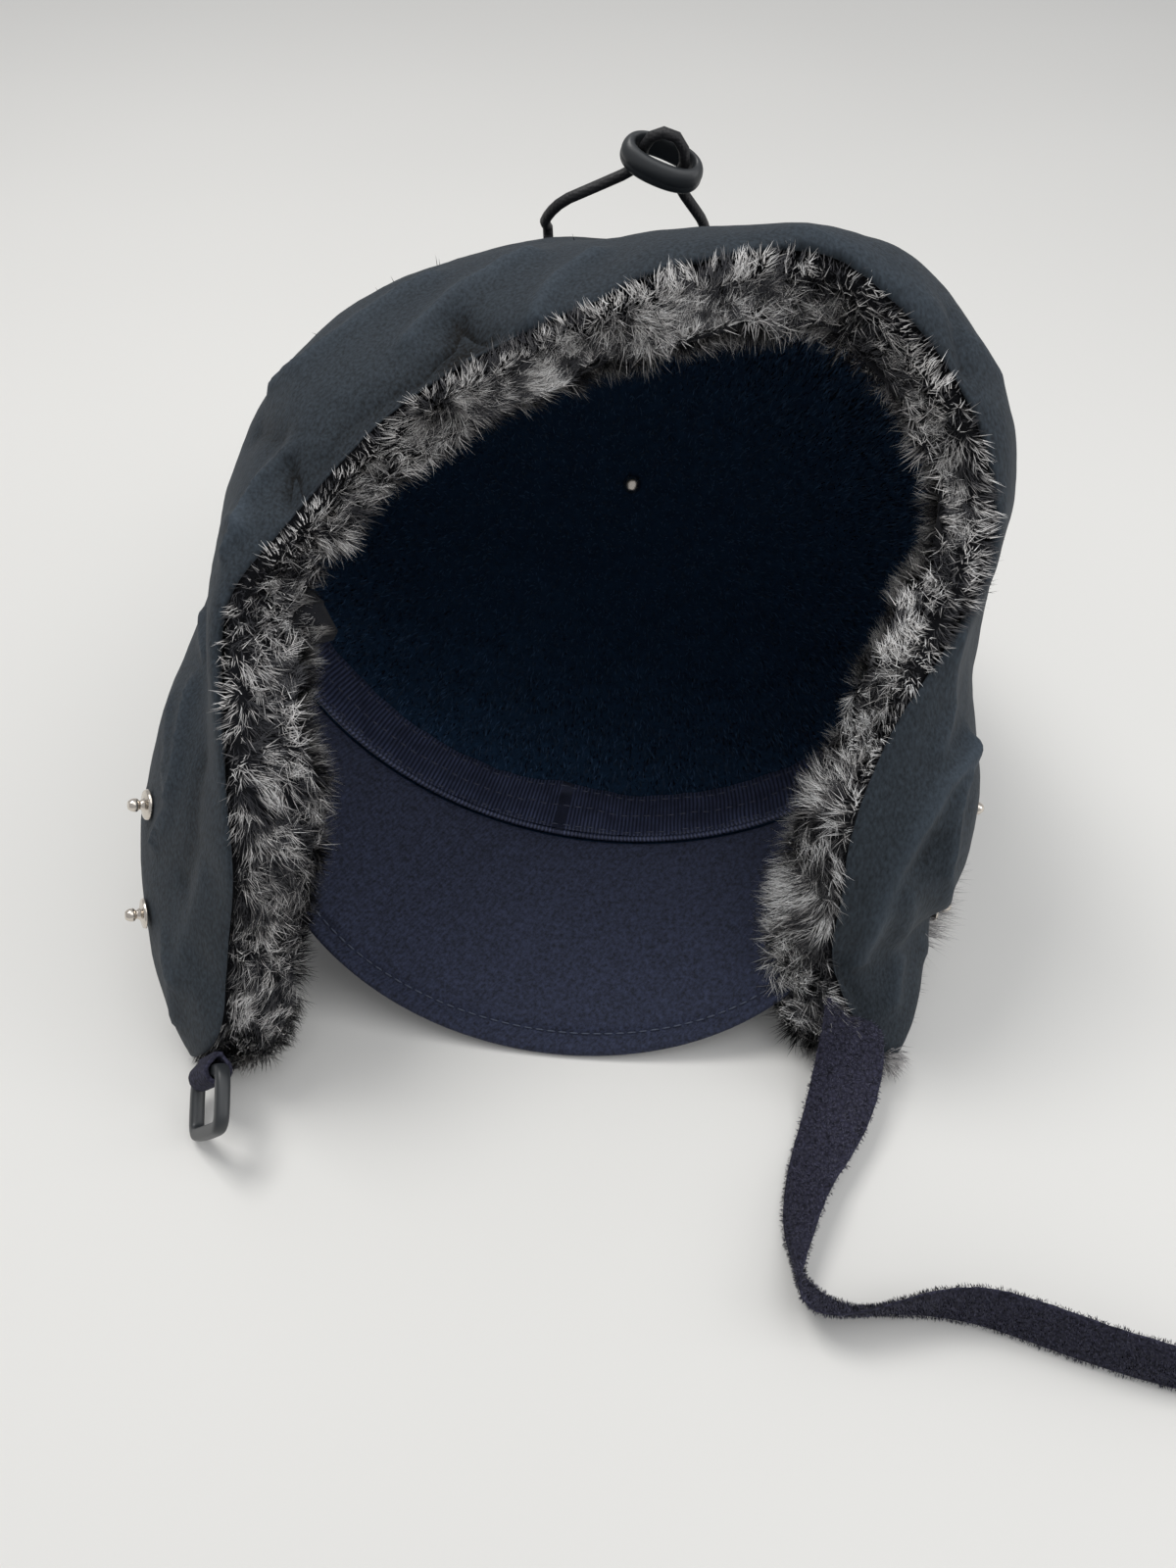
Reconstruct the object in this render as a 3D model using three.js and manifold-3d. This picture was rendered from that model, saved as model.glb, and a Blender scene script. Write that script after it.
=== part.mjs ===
// Padded winter cap with a peak and a wrap-round ear and neck flap lined with long pile.
// It lies on the front of its crown, the tip of its peak and the ends of its ear flaps,
// with the opening for the head turned up. Millimetres, +Z up, z = 0 is the surface.
import * as THREE from "three";
import { mergeVertices } from "three/addons/utils/BufferGeometryUtils.js";
import Module from "manifold-3d";

const wasm = await Module();
wasm.setup();

// Driving sizes of the head opening and the crown, in mm
const OPENING_WIDTH = 200;
const OPENING_LENGTH = 158;
const CROWN_DEPTH = 121;
const CROWN_ROUNDNESS = 2.6;
const CROWN_SET_BACK = 7;
const GAP = 0.3;

// Walls of the crown, in mm
const LINING_THICK = 4.6;
const LINING_RIM_THICK = 1.6;
const SHELL_THICK = 3.8;
const SHELL_RIM_THICK = 1.5;
const SEAM_DEPTH = 1.2;
const SHELL_PANELS = 6;

// Sweatband, in mm
const BAND_HEIGHT = 27;
const BAND_THICK = 1.4;
const BAND_HALF_SPAN = 120;
const BAND_GATHER = 3;
const BAND_PLEAT = 3.2;
const BAND_CLEAR = 1.12;

// Peak and the piping along its joint
const PEAK_REACH = 53;
const PEAK_WIDTH = 184;
const PEAK_HALF_SPAN = 57;
const PEAK_SLOPE = 0.7;
const PEAK_THICK = 3.6;
const PEAK_RIM_ROLL = 0.7;
const PIPING_DIAMETER = 2;
const PIPING_UP = 0.75;
const PIPING_HALF_TURN = 84;
const PIPING_BENDS = 16;

// Flap band, in mm
const FLAP_LENGTH = 120;
const FLAP_SHELL_THICK = 3.4;
const PILE_DEPTH = 19;
const PILE_SEAM_DEPTH = 3;
const PILE_OFF_SURFACE = 0.6;
const LOCK_HEIGHT = 2.6;
const LOCK_LEAN = 2.4;

// Covered button on top and the rivet that holds it, inside
const BUTTON_DIAMETER = 15;
const BUTTON_HEIGHT = 5;
const RIVET_DIAMETER = 7;
const RIVET_HEIGHT = 2.2;

// Ball studs
const STUD_BASE_DIAMETER = 9;
const STUD_BALL_DIAMETER = 3.9;
const STUD_HEIGHT = 5.4;

// Ring at the left ear flap and the webbing tab that holds it
const WEBBING_WIDTH = 20;
const RING_BAR = 4;
const RING_BAR_CORNER = 0.6;
const RING_OPENING = 11.5;
const TAB_THICK = 1.2;
const TAB_REACH = 5.2;
const RING_SECTION = 1.66;
const RING_HANGS = { x: 0.12, y: -0.93, z: -0.26 };

// Chin strap at the right ear flap
const STRAP_LENGTH = 192;
const STRAP_THICK = 1.8;
const STRAP_FROM = 26.1;
const STRAP_TO = 26.53;

// Elastic drawcord and its lock
const CORD_DIAMETER = 2.8;
const LOCK_WIDTH = 22;
const LOCK_DEPTH = 12.5;
const LOCK_THICK = 7.5;
const LOCK_SLOT_WIDTH = 15;
const LOCK_SLOT_DEPTH = 5.4;
const LOCK_SHIFT = 1;
const LOCK_SQUARENESS = 2.3;
const LOCK_MIDDLE = { x: 14.8, y: 55.6, z: 190.5 };
const LOCK_ACROSS = { x: 0.93, y: -0.2, z: -0.3 };
const LOCK_UP = { x: 0, y: -0.35, z: 0.94 };

// How the cap lies: angles in degrees
const TIP_FORWARD = 116.7;
const TURN_IN_OPENING = 5.7;
const TURN_ON_FLOOR = -6;

// How fine the faces are
const ROUND_COLUMNS = 42;
const FLAP_COLUMNS = 60;
const LOCK_COLUMNS = 28;
const CORD_STEPS = 34;

// The flap from the left front corner round the back to the right front corner, a row a section.
// at: degrees round the rim from the back; length: share of FLAP_LENGTH; lean: degrees towards
// the middle; sag: degrees towards the front; bulge: share of the section's length; pile and
// spill: shares of PILE_DEPTH, how deep the pile is at the hem and how far it hangs past it.
const FLAP_SECTIONS = [
  { at: -122, length: 0.88, lean: -1, sag: 67, bulge: 0.1, pile: 0.6, spill: 0.3 },
  { at: -116, length: 1.02, lean: -1, sag: 65, bulge: 0.17, pile: 0.9, spill: 0.6 },
  { at: -110, length: 1.0, lean: 9, sag: 54, bulge: 0.25, pile: 1.15, spill: 0.6 },
  { at: -104, length: 0.9, lean: 12.5, sag: 48, bulge: 0.22, pile: 1.3, spill: 0.2 },
  { at: -98, length: 0.86, lean: 17, sag: 36, bulge: 0.14, pile: 1.4, spill: 0.1 },
  { at: -91, length: 0.8, lean: 17, sag: 31, bulge: 0.03, pile: 1.35, spill: 0.1 },
  { at: -84, length: 0.73, lean: 16, sag: 28.5, bulge: 0.02, pile: 1.2, spill: 0.1 },
  { at: -76, length: 0.66, lean: 13.6, sag: 26.5, bulge: 0.02, pile: 1.15, spill: 0.1 },
  { at: -67, length: 0.62, lean: 11.6, sag: 27.5, bulge: 0.03, pile: 1.15, spill: 0.1 },
  { at: -57, length: 0.59, lean: 12.3, sag: 29, bulge: 0.08, pile: 1.15, spill: 0.1 },
  { at: -46, length: 0.55, lean: 11, sag: 29, bulge: 0.11, pile: 1.15, spill: 0.1 },
  { at: -34, length: 0.5, lean: 8.3, sag: 26.5, bulge: 0.08, pile: 1.15, spill: 0.1 },
  { at: -20, length: 0.465, lean: 6.2, sag: 21, bulge: 0.06, pile: 1, spill: 0.1 },
  { at: -5, length: 0.44, lean: 3.9, sag: 11, bulge: 0.07, pile: 1.05, spill: 0.1 },
  { at: 8, length: 0.428, lean: 1.8, sag: 0, bulge: 0.1, pile: 1.1, spill: 0.1 },
  { at: 22, length: 0.41, lean: 4.4, sag: -13, bulge: 0.17, pile: 1.1, spill: 0.1 },
  { at: 36, length: 0.425, lean: 11.5, sag: -18.5, bulge: 0.28, pile: 1.05, spill: 0.1 },
  { at: 50, length: 0.427, lean: 12.8, sag: -20, bulge: 0.19, pile: 1, spill: 0.1 },
  { at: 63, length: 0.43, lean: 13.7, sag: -22.4, bulge: 0.13, pile: 0.9, spill: 0.1 },
  { at: 75, length: 0.44, lean: 14.6, sag: -24, bulge: 0, pile: 0.82, spill: 0.1 },
  { at: 86, length: 0.45, lean: 15, sag: -23.5, bulge: -0.08, pile: 0.85, spill: 0.1 },
  { at: 95, length: 0.47, lean: 20, sag: -18, bulge: 0, pile: 0.95, spill: 0.1 },
  { at: 102, length: 0.495, lean: 24, sag: -10.5, bulge: 0.16, pile: 1.05, spill: 0.1 },
  { at: 107, length: 0.5, lean: 25, sag: 0.5, bulge: 0.36, pile: 1.2, spill: 0.15 },
  { at: 111, length: 0.51, lean: 23, sag: 13, bulge: 0.45, pile: 1.3, spill: 0.2 },
  { at: 114, length: 0.52, lean: 18, sag: 28, bulge: 0.43, pile: 1.2, spill: 0.3 },
  { at: 117, length: 0.55, lean: 11.5, sag: 49, bulge: 0.33, pile: 1.05, spill: 0.4 },
  { at: 120, length: 0.72, lean: -11.5, sag: 66, bulge: 0.12, pile: 0.8, spill: 0.4 },
  { at: 123, length: 0.62, lean: -12, sag: 70, bulge: 0.1, pile: 0.5, spill: 0.2 },
];

// Rows down the flap: share of the way from the seam to the hem, share of the shell's
// thickness and share of the pile's depth there
const FLAP_ROWS = [
  { down: 0, shell: 0.45, pile: 0 },
  { down: 0.13, shell: 1, pile: 0.4 },
  { down: 0.32, shell: 1.15, pile: 0.65 },
  { down: 0.54, shell: 1.12, pile: 0.8 },
  { down: 0.76, shell: 1.05, pile: 0.93 },
  { down: 0.92, shell: 0.95, pile: 1 },
  { down: 1, shell: 0.5, pile: 0.88 },
];

const degrees = Math.PI / 180;

// The cap's own frame has x to the wearer's right, y to the front and z to the crown's top.
// This turns it into the frame that it lies in; the height comes from the peak, which rests.
const lying = new THREE.Matrix4()
  .makeRotationZ(TURN_ON_FLOOR * degrees)
  .multiply(new THREE.Matrix4().makeRotationX(-TIP_FORWARD * degrees))
  .multiply(new THREE.Matrix4().makeRotationZ(TURN_IN_OPENING * degrees));

function smooth(from, to, value) {
  return THREE.MathUtils.smoothstep(value, from, to);
}

function ramp(from, to, value) {
  return THREE.MathUtils.clamp((value - from) / (to - from), 0, 1);
}

// Outward normals of an open grid whose columns run clockwise seen from above the crown
function gridNormals(points) {
  const last = points.length - 1;
  const end = points[0].length - 1;
  return points.map((column, i) =>
    column.map((_, j) => {
      const across = points[Math.min(i + 1, last)][j].clone().sub(points[Math.max(i - 1, 0)][j]);
      const along = column[Math.min(j + 1, end)].clone().sub(column[Math.max(j - 1, 0)]);
      return along.cross(across).normalize();
    }),
  );
}

// Closed body between two grids of points. A grid is a list of columns; wrap joins the last
// column to the first, and pole closes the last row with one point.
function wallBetween(outer, inner, { wrap = false, pole = false } = {}) {
  const columns = outer.length;
  const rows = outer[0].length;
  const corners = [];
  const faces = [];
  const number = [outer, inner].map((grid) =>
    grid.map((column) =>
      column.map((point) => {
        corners.push(point.x, point.y, point.z);
        return corners.length / 3 - 1;
      }),
    ),
  );
  const quad = (a, b, c, d) => faces.push(a, b, c, a, c, d);
  const spans = wrap ? columns : columns - 1;
  for (let i = 0; i < spans; i += 1) {
    const k = (i + 1) % columns;
    for (let j = 0; j < rows - 1; j += 1) {
      quad(number[0][i][j], number[0][k][j], number[0][k][j + 1], number[0][i][j + 1]);
      quad(number[1][i][j], number[1][i][j + 1], number[1][k][j + 1], number[1][k][j]);
    }
    quad(number[0][i][0], number[1][i][0], number[1][k][0], number[0][k][0]);
    if (!pole) {
      const r = rows - 1;
      quad(number[0][i][r], number[0][k][r], number[1][k][r], number[1][i][r]);
    }
  }
  if (pole) {
    [outer, inner].forEach((grid, side) => {
      const middle = new THREE.Vector3();
      grid.forEach((column) => middle.addScaledVector(column[rows - 1], 1 / columns));
      corners.push(middle.x, middle.y, middle.z);
      const centre = corners.length / 3 - 1;
      for (let i = 0; i < columns; i += 1) {
        const a = number[side][i][rows - 1];
        const b = number[side][(i + 1) % columns][rows - 1];
        if (side === 0) faces.push(a, b, centre);
        else faces.push(b, a, centre);
      }
    });
  }
  if (!wrap) {
    for (let j = 0; j < rows - 1; j += 1) {
      const e = columns - 1;
      quad(number[0][0][j], number[0][0][j + 1], number[1][0][j + 1], number[1][0][j]);
      quad(number[0][e][j], number[1][e][j], number[1][e][j + 1], number[0][e][j + 1]);
    }
  }
  return bodyFrom(corners, faces);
}

// Geometry from corners and faces, with the faces turned outward
function bodyFrom(corners, faces) {
  let volume = 0;
  const a = new THREE.Vector3();
  const b = new THREE.Vector3();
  const c = new THREE.Vector3();
  for (let i = 0; i < faces.length; i += 3) {
    a.fromArray(corners, faces[i] * 3);
    b.fromArray(corners, faces[i + 1] * 3);
    c.fromArray(corners, faces[i + 2] * 3);
    volume += a.dot(b.cross(c));
  }
  if (volume < 0) {
    for (let i = 0; i < faces.length; i += 3) [faces[i], faces[i + 1]] = [faces[i + 1], faces[i]];
  }
  const geometry = new THREE.BufferGeometry();
  geometry.setAttribute("position", new THREE.Float32BufferAttribute(corners, 3));
  geometry.setIndex(faces);
  geometry.computeVertexNormals();
  return geometry;
}

// Head cavity, in the cap's frame: at is degrees round from the back, rise 0 at the rim to 1
function cavity(at, rise) {
  const turn = rise * 90 * degrees;
  const power = 2 / CROWN_ROUNDNESS;
  const spread = Math.cos(turn) ** power;
  const height = Math.sin(turn) ** power;
  return new THREE.Vector3(
    (OPENING_WIDTH / 2) * spread * Math.sin(at * degrees),
    -(OPENING_LENGTH / 2) * spread * Math.cos(at * degrees) - CROWN_SET_BACK * height ** 3,
    CROWN_DEPTH * height,
  );
}

// Share of the rise at which the cavity is a given height above the rim
function riseAt(height) {
  return Math.asin((height / CROWN_DEPTH) ** (CROWN_ROUNDNESS / 2)) / (90 * degrees);
}

function cavityNormal(at, rise) {
  const step = 0.5;
  const safe = THREE.MathUtils.clamp(rise, 0.004, 0.992);
  const across = cavity(at + step, safe).sub(cavity(at - step, safe));
  const up = cavity(at, safe + 0.003).sub(cavity(at, safe - 0.003));
  return across.cross(up).normalize();
}

// 1 along the front where the peak is sewn on, 0 beyond its corners
function peakShare(at) {
  const fromFront = Math.abs(180 - ((at + 360) % 360));
  return 1 - smooth(PEAK_HALF_SPAN - 20, PEAK_HALF_SPAN - 6, fromFront);
}

const bandAllowance = BAND_THICK + 2 * GAP;
const rimOut = bandAllowance + LINING_RIM_THICK + GAP + SHELL_RIM_THICK;

// Distances of each wall's faces from the cavity, at a height above the rim
function liningInside(height) {
  return bandAllowance * (1 - smooth(BAND_HEIGHT * BAND_CLEAR, BAND_HEIGHT * 1.6, height));
}

function liningOutside(height) {
  const rim = bandAllowance + LINING_RIM_THICK;
  return THREE.MathUtils.lerp(rim, LINING_THICK, smooth(0, BAND_HEIGHT * 1.3, height));
}

function shellInside(height) {
  return liningOutside(height) + GAP;
}

function shellOutside(height, at) {
  const thick = THREE.MathUtils.lerp(SHELL_RIM_THICK, SHELL_THICK, smooth(0, BAND_HEIGHT * 0.7, height));
  const panel = 360 / SHELL_PANELS;
  const fromSeam = Math.abs(((at + panel * 6.5) % panel) - panel / 2);
  const seam = SEAM_DEPTH * (1 - ramp(0, 6, fromSeam)) * smooth(0, BAND_HEIGHT * 0.5, height);
  return shellInside(height) + thick - seam;
}

const bandRises = [0, riseAt(BAND_HEIGHT / 2), riseAt(BAND_HEIGHT * BAND_CLEAR)];
const crownRises = [...bandRises, 0.24, 0.36, 0.48, 0.6, 0.72, 0.83, 0.93];
const roundAngles = Array.from({ length: ROUND_COLUMNS }, (_, i) => (i * 360) / ROUND_COLUMNS);

// A point on a wall of the crown. The rim follows the slope of the peak where that is sewn on.
function wallPoint(at, rise, distance) {
  const point = cavity(at, rise);
  const normal = cavityNormal(at, rise);
  point.addScaledVector(normal, distance);
  if (rise === 0) point.z = GAP / 2 - PEAK_SLOPE * distance * peakShare(at);
  return point;
}

// Grid of the lying frame from a function of column and row
function grid(columns, rows, at) {
  return columns.map((column) => rows.map((row) => at(column, row).applyMatrix4(lying)));
}

// Peak: its underside is ruled forward and down from the rim
function rimFront(side) {
  return (OPENING_LENGTH / 2) * Math.sqrt(Math.max(0, 1 - (side / (OPENING_WIDTH / 2)) ** 2));
}

function peakPoint(turn, out, lift) {
  const start = cavity(180 - PEAK_HALF_SPAN * Math.sin(turn), 0);
  const corner = cavity(180 - PEAK_HALF_SPAN, 0);
  const tip = OPENING_LENGTH / 2 + PEAK_REACH;
  const edgeSide = (PEAK_WIDTH / 2) * Math.sin(turn);
  const edgeFront = corner.y + (tip - corner.y) * Math.cos(turn) ** 0.9;
  const side = THREE.MathUtils.lerp(start.x, edgeSide, out);
  const front = THREE.MathUtils.lerp(start.y, edgeFront, out);
  const slope = Math.atan(PEAK_SLOPE);
  const drop = PEAK_SLOPE * Math.max(0, front - rimFront(side));
  const point = new THREE.Vector3(side, front, GAP / 2 - (PEAK_THICK + GAP) / Math.cos(slope) - drop);
  point.y += lift * Math.sin(slope);
  point.z += lift * Math.cos(slope);
  return point;
}

const peakTurns = Array.from({ length: 25 }, (_, i) => (-90 + (i * 180) / 24) * degrees);
const peakOuts = [0, 0.2, 0.42, 0.64, 0.83, 0.93, 0.97, 1];

function peakLift(out, top) {
  const groove = PEAK_RIM_ROLL * (Math.abs(out - 0.93) < 0.01 ? 0.6 : 0);
  const roll = PEAK_RIM_ROLL * (Math.abs(out - 0.97) < 0.01 ? 0.5 : 0);
  const edge = out === 1 ? PEAK_THICK * 0.28 : 0;
  return top ? PEAK_THICK - groove + roll - edge : groove - roll + edge;
}

const peakTop = grid(peakTurns, peakOuts, (turn, out) => peakPoint(turn, out, peakLift(out, true)));
const peakUnder = grid(peakTurns, peakOuts, (turn, out) => peakPoint(turn, out, peakLift(out, false)));
const peakLowest = Math.min(...peakTop.flat().map((point) => point.z));
const openingHeight = -peakLowest;

// Moves a lying point to its height and keeps it off the surface by its depth in the wall
function rest(point, depth = 0) {
  point.z = Math.max(point.z + openingHeight, depth);
  return point;
}

function restGrid(points, depth) {
  points.forEach((column, i) => column.forEach((point, j) => rest(point, depth ? depth(i, j) : 0)));
  return points;
}

const heightAt = (rise) => cavity(0, rise).z;

function crownLayer(distance) {
  return grid(roundAngles, crownRises, (at, rise) => wallPoint(at, rise, distance(at, heightAt(rise))));
}

const crownFaces = {
  shellOut: crownLayer((at, height) => shellOutside(height, at)),
  shellIn: crownLayer((at, height) => shellInside(height)),
  liningOut: crownLayer((at, height) => liningOutside(height)),
  liningIn: crownLayer((at, height) => liningInside(height)),
};
restGrid(crownFaces.shellOut);
restGrid(crownFaces.shellIn, () => SHELL_THICK - SEAM_DEPTH);
restGrid(crownFaces.liningOut, () => SHELL_THICK - SEAM_DEPTH + GAP);
restGrid(crownFaces.liningIn, () => SHELL_THICK - SEAM_DEPTH + GAP + LINING_THICK);
const crownShell = wallBetween(crownFaces.shellOut, crownFaces.shellIn, { wrap: true, pole: true });
const crownLining = wallBetween(crownFaces.liningOut, crownFaces.liningIn, { wrap: true, pole: true });

restGrid(peakTop);
restGrid(peakUnder);
const peak = wallBetween(peakTop, peakUnder);

// Sweatband: from side to side round the front, its upper edge gathered on the left
const bandAngles = roundAngles.filter((at) => Math.abs(at - 180) <= BAND_HALF_SPAN);
const bandHeights = [0.01, 0.5, 0.72, 0.88, 1];

function bandPoint(at, share, distance) {
  const gather = Math.sin(at * 0.42) * smooth(0.5, 1, share) * smooth(165, 185, at) * smooth(262, 240, at);
  const pleat = Math.abs(at - 180) < 1 ? BAND_PLEAT * smooth(0.1, 0.6, share) : 0;
  const stand = smooth(0.6, 1, share) * 1.2 + Math.max(0, gather) * BAND_GATHER;
  const height = GAP + BAND_HEIGHT * share * (1 - 0.05 * Math.abs(gather));
  const point = cavity(at, riseAt(height));
  return point.addScaledVector(cavityNormal(at, riseAt(height)), distance - stand - pleat);
}

const bandOut = grid(bandAngles, bandHeights, (at, share) => bandPoint(at, share, BAND_THICK + GAP));
const bandIn = grid(bandAngles, bandHeights, (at, share) => bandPoint(at, share, GAP));
const sweatband = wallBetween(restGrid(bandOut), restGrid(bandIn));

// Flap: sections between the rows of the table, as smooth curves through them
function sectionAt(share) {
  const last = FLAP_SECTIONS.length - 1;
  const place = share * last;
  const i = Math.min(Math.floor(place), last - 1);
  const part = place - i;
  const pick = (k) => FLAP_SECTIONS[THREE.MathUtils.clamp(k, 0, last)];
  const blend = (name) => {
    const [a, b, c, d] = [pick(i - 1), pick(i), pick(i + 1), pick(i + 2)].map((row) => row[name]);
    const bend = 2 * a - 5 * b + 4 * c - d;
    return b + 0.5 * part * (c - a + part * (bend + part * (3 * (b - c) + d - a)));
  };
  return {
    at: blend("at"),
    length: blend("length") * FLAP_LENGTH,
    lean: blend("lean") * degrees,
    sag: blend("sag") * degrees,
    bulge: blend("bulge"),
    pile: blend("pile"),
    spill: blend("spill"),
  };
}

function flapPoint(share, down) {
  const { at, length, lean, sag, bulge } = sectionAt(share);
  const seam = cavity(at, 0);
  const outward = cavityNormal(at, 0).setZ(0).normalize();
  seam.addScaledVector(outward, rimOut - SHELL_RIM_THICK);
  seam.z = -GAP / 2;
  const side = Math.sign(at);
  const reach = new THREE.Vector3(
    -side * Math.sin(lean),
    Math.cos(lean) * Math.sin(sag),
    -Math.cos(lean) * Math.cos(sag),
  );
  const swell = outward.addScaledVector(reach, -outward.dot(reach)).normalize();
  const first = seam.clone().addScaledVector(reach, length / 3);
  const second = seam.clone().addScaledVector(reach, (length * 2) / 3);
  first.addScaledVector(swell, bulge * length * 1.25);
  second.addScaledVector(swell, bulge * length * 1.4);
  const hem = seam.clone().addScaledVector(reach, length);
  return new THREE.CubicBezierCurve3(seam, first, second, hem).getPoint(down);
}

const flapShares = Array.from({ length: FLAP_COLUMNS + 1 }, (_, i) => i / FLAP_COLUMNS);
const flapFace = grid(flapShares, FLAP_ROWS, (share, row) => flapPoint(share, row.down));
const flapNormals = gridNormals(flapFace);

const crownUp = new THREE.Vector3(0, 0, 1).transformDirection(lying);

// Layer of the flap at a distance from its middle face. At the seam it goes straight out, and
// none of it rises past the plane of the rim, where the crown's walls begin.
function flapLayer(distance) {
  return flapFace.map((column, i) =>
    column.map((point, j) => {
      const normal = flapNormals[i][j].clone();
      if (j === 0) normal.addScaledVector(crownUp, -normal.dot(crownUp)).normalize();
      return belowRim(point.clone().addScaledVector(normal, distance(i, j)));
    }),
  );
}

function belowRim(point) {
  return point.addScaledVector(crownUp, -Math.max(0, point.dot(crownUp) + GAP / 2));
}

const flapOut = flapLayer((i, j) => FLAP_SHELL_THICK * FLAP_ROWS[j].shell);
const flapIn = flapLayer(() => 0);
const furBack = flapLayer(() => -GAP);

// The pile's face: tufts stand up from it in turn and lean to the hem, and it spills past the
// hem
function furFacePoint(i, j) {
  const { pile, spill } = sectionAt(flapShares[i]);
  const row = FLAP_ROWS[j];
  const grown = ramp(0, 0.3, row.down);
  const tuft = LOCK_HEIGHT * ((i + 2 * j) % 3 === 0 ? 1 : -0.4) * grown;
  const depth = THREE.MathUtils.lerp(PILE_SEAM_DEPTH, PILE_DEPTH * pile + tuft, row.pile);
  const normal = flapNormals[i][j].clone();
  const along = new THREE.Vector3();
  if (j === 0) normal.addScaledVector(crownUp, -normal.dot(crownUp)).normalize();
  else along.copy(flapFace[i][j]).sub(flapFace[i][j - 1]).normalize();
  const slide = PILE_DEPTH * spill * ramp(0.6, 1, row.down) + LOCK_LEAN * ((i + j) % 2) * grown;
  const point = flapFace[i][j].clone().addScaledVector(normal, -GAP - depth);
  return belowRim(point.addScaledVector(along, slide));
}

const furFace = flapFace.map((column, i) => column.map((_, j) => furFacePoint(i, j)));
restGrid(flapOut);
restGrid(flapIn);
restGrid(furBack, () => PILE_OFF_SURFACE);
restGrid(furFace, () => PILE_OFF_SURFACE);
const flapShell = wallBetween(flapOut, flapIn);

// Solids for cuts: a closed geometry becomes a solid, and a solid's largest body a geometry
function solidOf(geometry) {
  const bare = new THREE.BufferGeometry();
  bare.setAttribute("position", geometry.getAttribute("position"));
  bare.setIndex(geometry.getIndex());
  const merged = mergeVertices(bare);
  const vertProperties = new Float32Array(merged.getAttribute("position").array);
  const triVerts = new Uint32Array(merged.getIndex().array);
  return new wasm.Manifold(new wasm.Mesh({ numProp: 3, vertProperties, triVerts }));
}

function largestBody(solid) {
  const bodies = solid.decompose().sort((a, b) => b.volume() - a.volume());
  const { vertProperties, triVerts } = bodies[0].getMesh();
  return bodyFrom(Array.from(vertProperties), Array.from(triVerts));
}

// The peak presses into the pile: its room is the peak with a gap all round
const roomOuts = peakOuts.map((out) => out * (1 + (2 * GAP) / PEAK_REACH));
const roomTop = grid(peakTurns, roomOuts, (turn, out) => peakPoint(turn, out, PEAK_THICK + 2 * GAP));
const roomUnder = grid(peakTurns, roomOuts, (turn, out) => peakPoint(turn, out, -2 * GAP));
const peakRoom = wallBetween(restGrid(roomTop), restGrid(roomUnder));
const flapFur = largestBody(solidOf(wallBetween(furBack, furFace)).subtract(solidOf(peakRoom)));

// Tube along a curve, closed at both ends
function tubeAlong(curve, diameter, sides, steps) {
  const section = new THREE.Shape();
  for (let i = 0; i < sides; i += 1) {
    const turn = ((i + 0.5) / sides) * Math.PI * 2;
    const corner = [(diameter / 2) * Math.cos(turn), (diameter / 2) * Math.sin(turn)];
    if (i === 0) section.moveTo(...corner);
    else section.lineTo(...corner);
  }
  section.closePath();
  return new THREE.ExtrudeGeometry(section, { steps, extrudePath: curve, curveSegments: 1 });
}

// Piping along the joint of the sweatband and the peak: it lies against the peak's back edge
function pipingPoint(turn) {
  const here = peakPoint(turn, 0, PEAK_THICK * PIPING_UP);
  const along = peakPoint(turn + 0.01, 0, 0).sub(peakPoint(turn - 0.01, 0, 0));
  const up = peakPoint(turn, 0, 1).sub(peakPoint(turn, 0, 0));
  here.addScaledVector(along.cross(up).normalize(), PIPING_DIAMETER / 2 + GAP);
  return rest(here.applyMatrix4(lying));
}

const pipingShares = Array.from({ length: PIPING_BENDS + 1 }, (_, i) => (2 * i) / PIPING_BENDS - 1);
const pipingTurns = pipingShares.map((share) => share * PIPING_HALF_TURN * degrees);
const pipingPath = new THREE.CatmullRomCurve3(pipingTurns.map(pipingPoint));
const piping = tubeAlong(pipingPath, PIPING_DIAMETER, 6, PIPING_BENDS * 2);

// Turned pieces, standing on z = 0 of their own frame
function turned(profile, sides) {
  const points = profile.map(([radius, height]) => new THREE.Vector2(radius, height));
  return new THREE.LatheGeometry(points, sides).rotateX(Math.PI / 2);
}

function domeProfile(radius, height, steps) {
  const rows = [[0, 0]];
  for (let i = 0; i <= steps; i += 1) {
    const turn = (i / steps) * 90 * degrees;
    rows.push([i === steps ? 0 : radius * Math.cos(turn), height * (0.3 + 0.7 * Math.sin(turn))]);
  }
  return rows;
}

const button = turned(domeProfile(BUTTON_DIAMETER / 2, BUTTON_HEIGHT, 4), 16);
const rivet = turned(domeProfile(RIVET_DIAMETER / 2, RIVET_HEIGHT, 3), 12);

const studBase = STUD_BASE_DIAMETER / 2;
const studBall = STUD_BALL_DIAMETER / 2;
const studNeck = studBall * 0.6;
const stud = turned(
  [
    [0, 0],
    [studBase, 0],
    [studBase * 0.94, STUD_HEIGHT * 0.14],
    [studNeck * 1.6, STUD_HEIGHT * 0.24],
    [studNeck, STUD_HEIGHT * 0.42],
    [studBall, STUD_HEIGHT * 0.56],
    [studBall, STUD_HEIGHT * 0.78],
    [studNeck, STUD_HEIGHT * 0.96],
    [0, STUD_HEIGHT],
  ],
  12,
);

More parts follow.
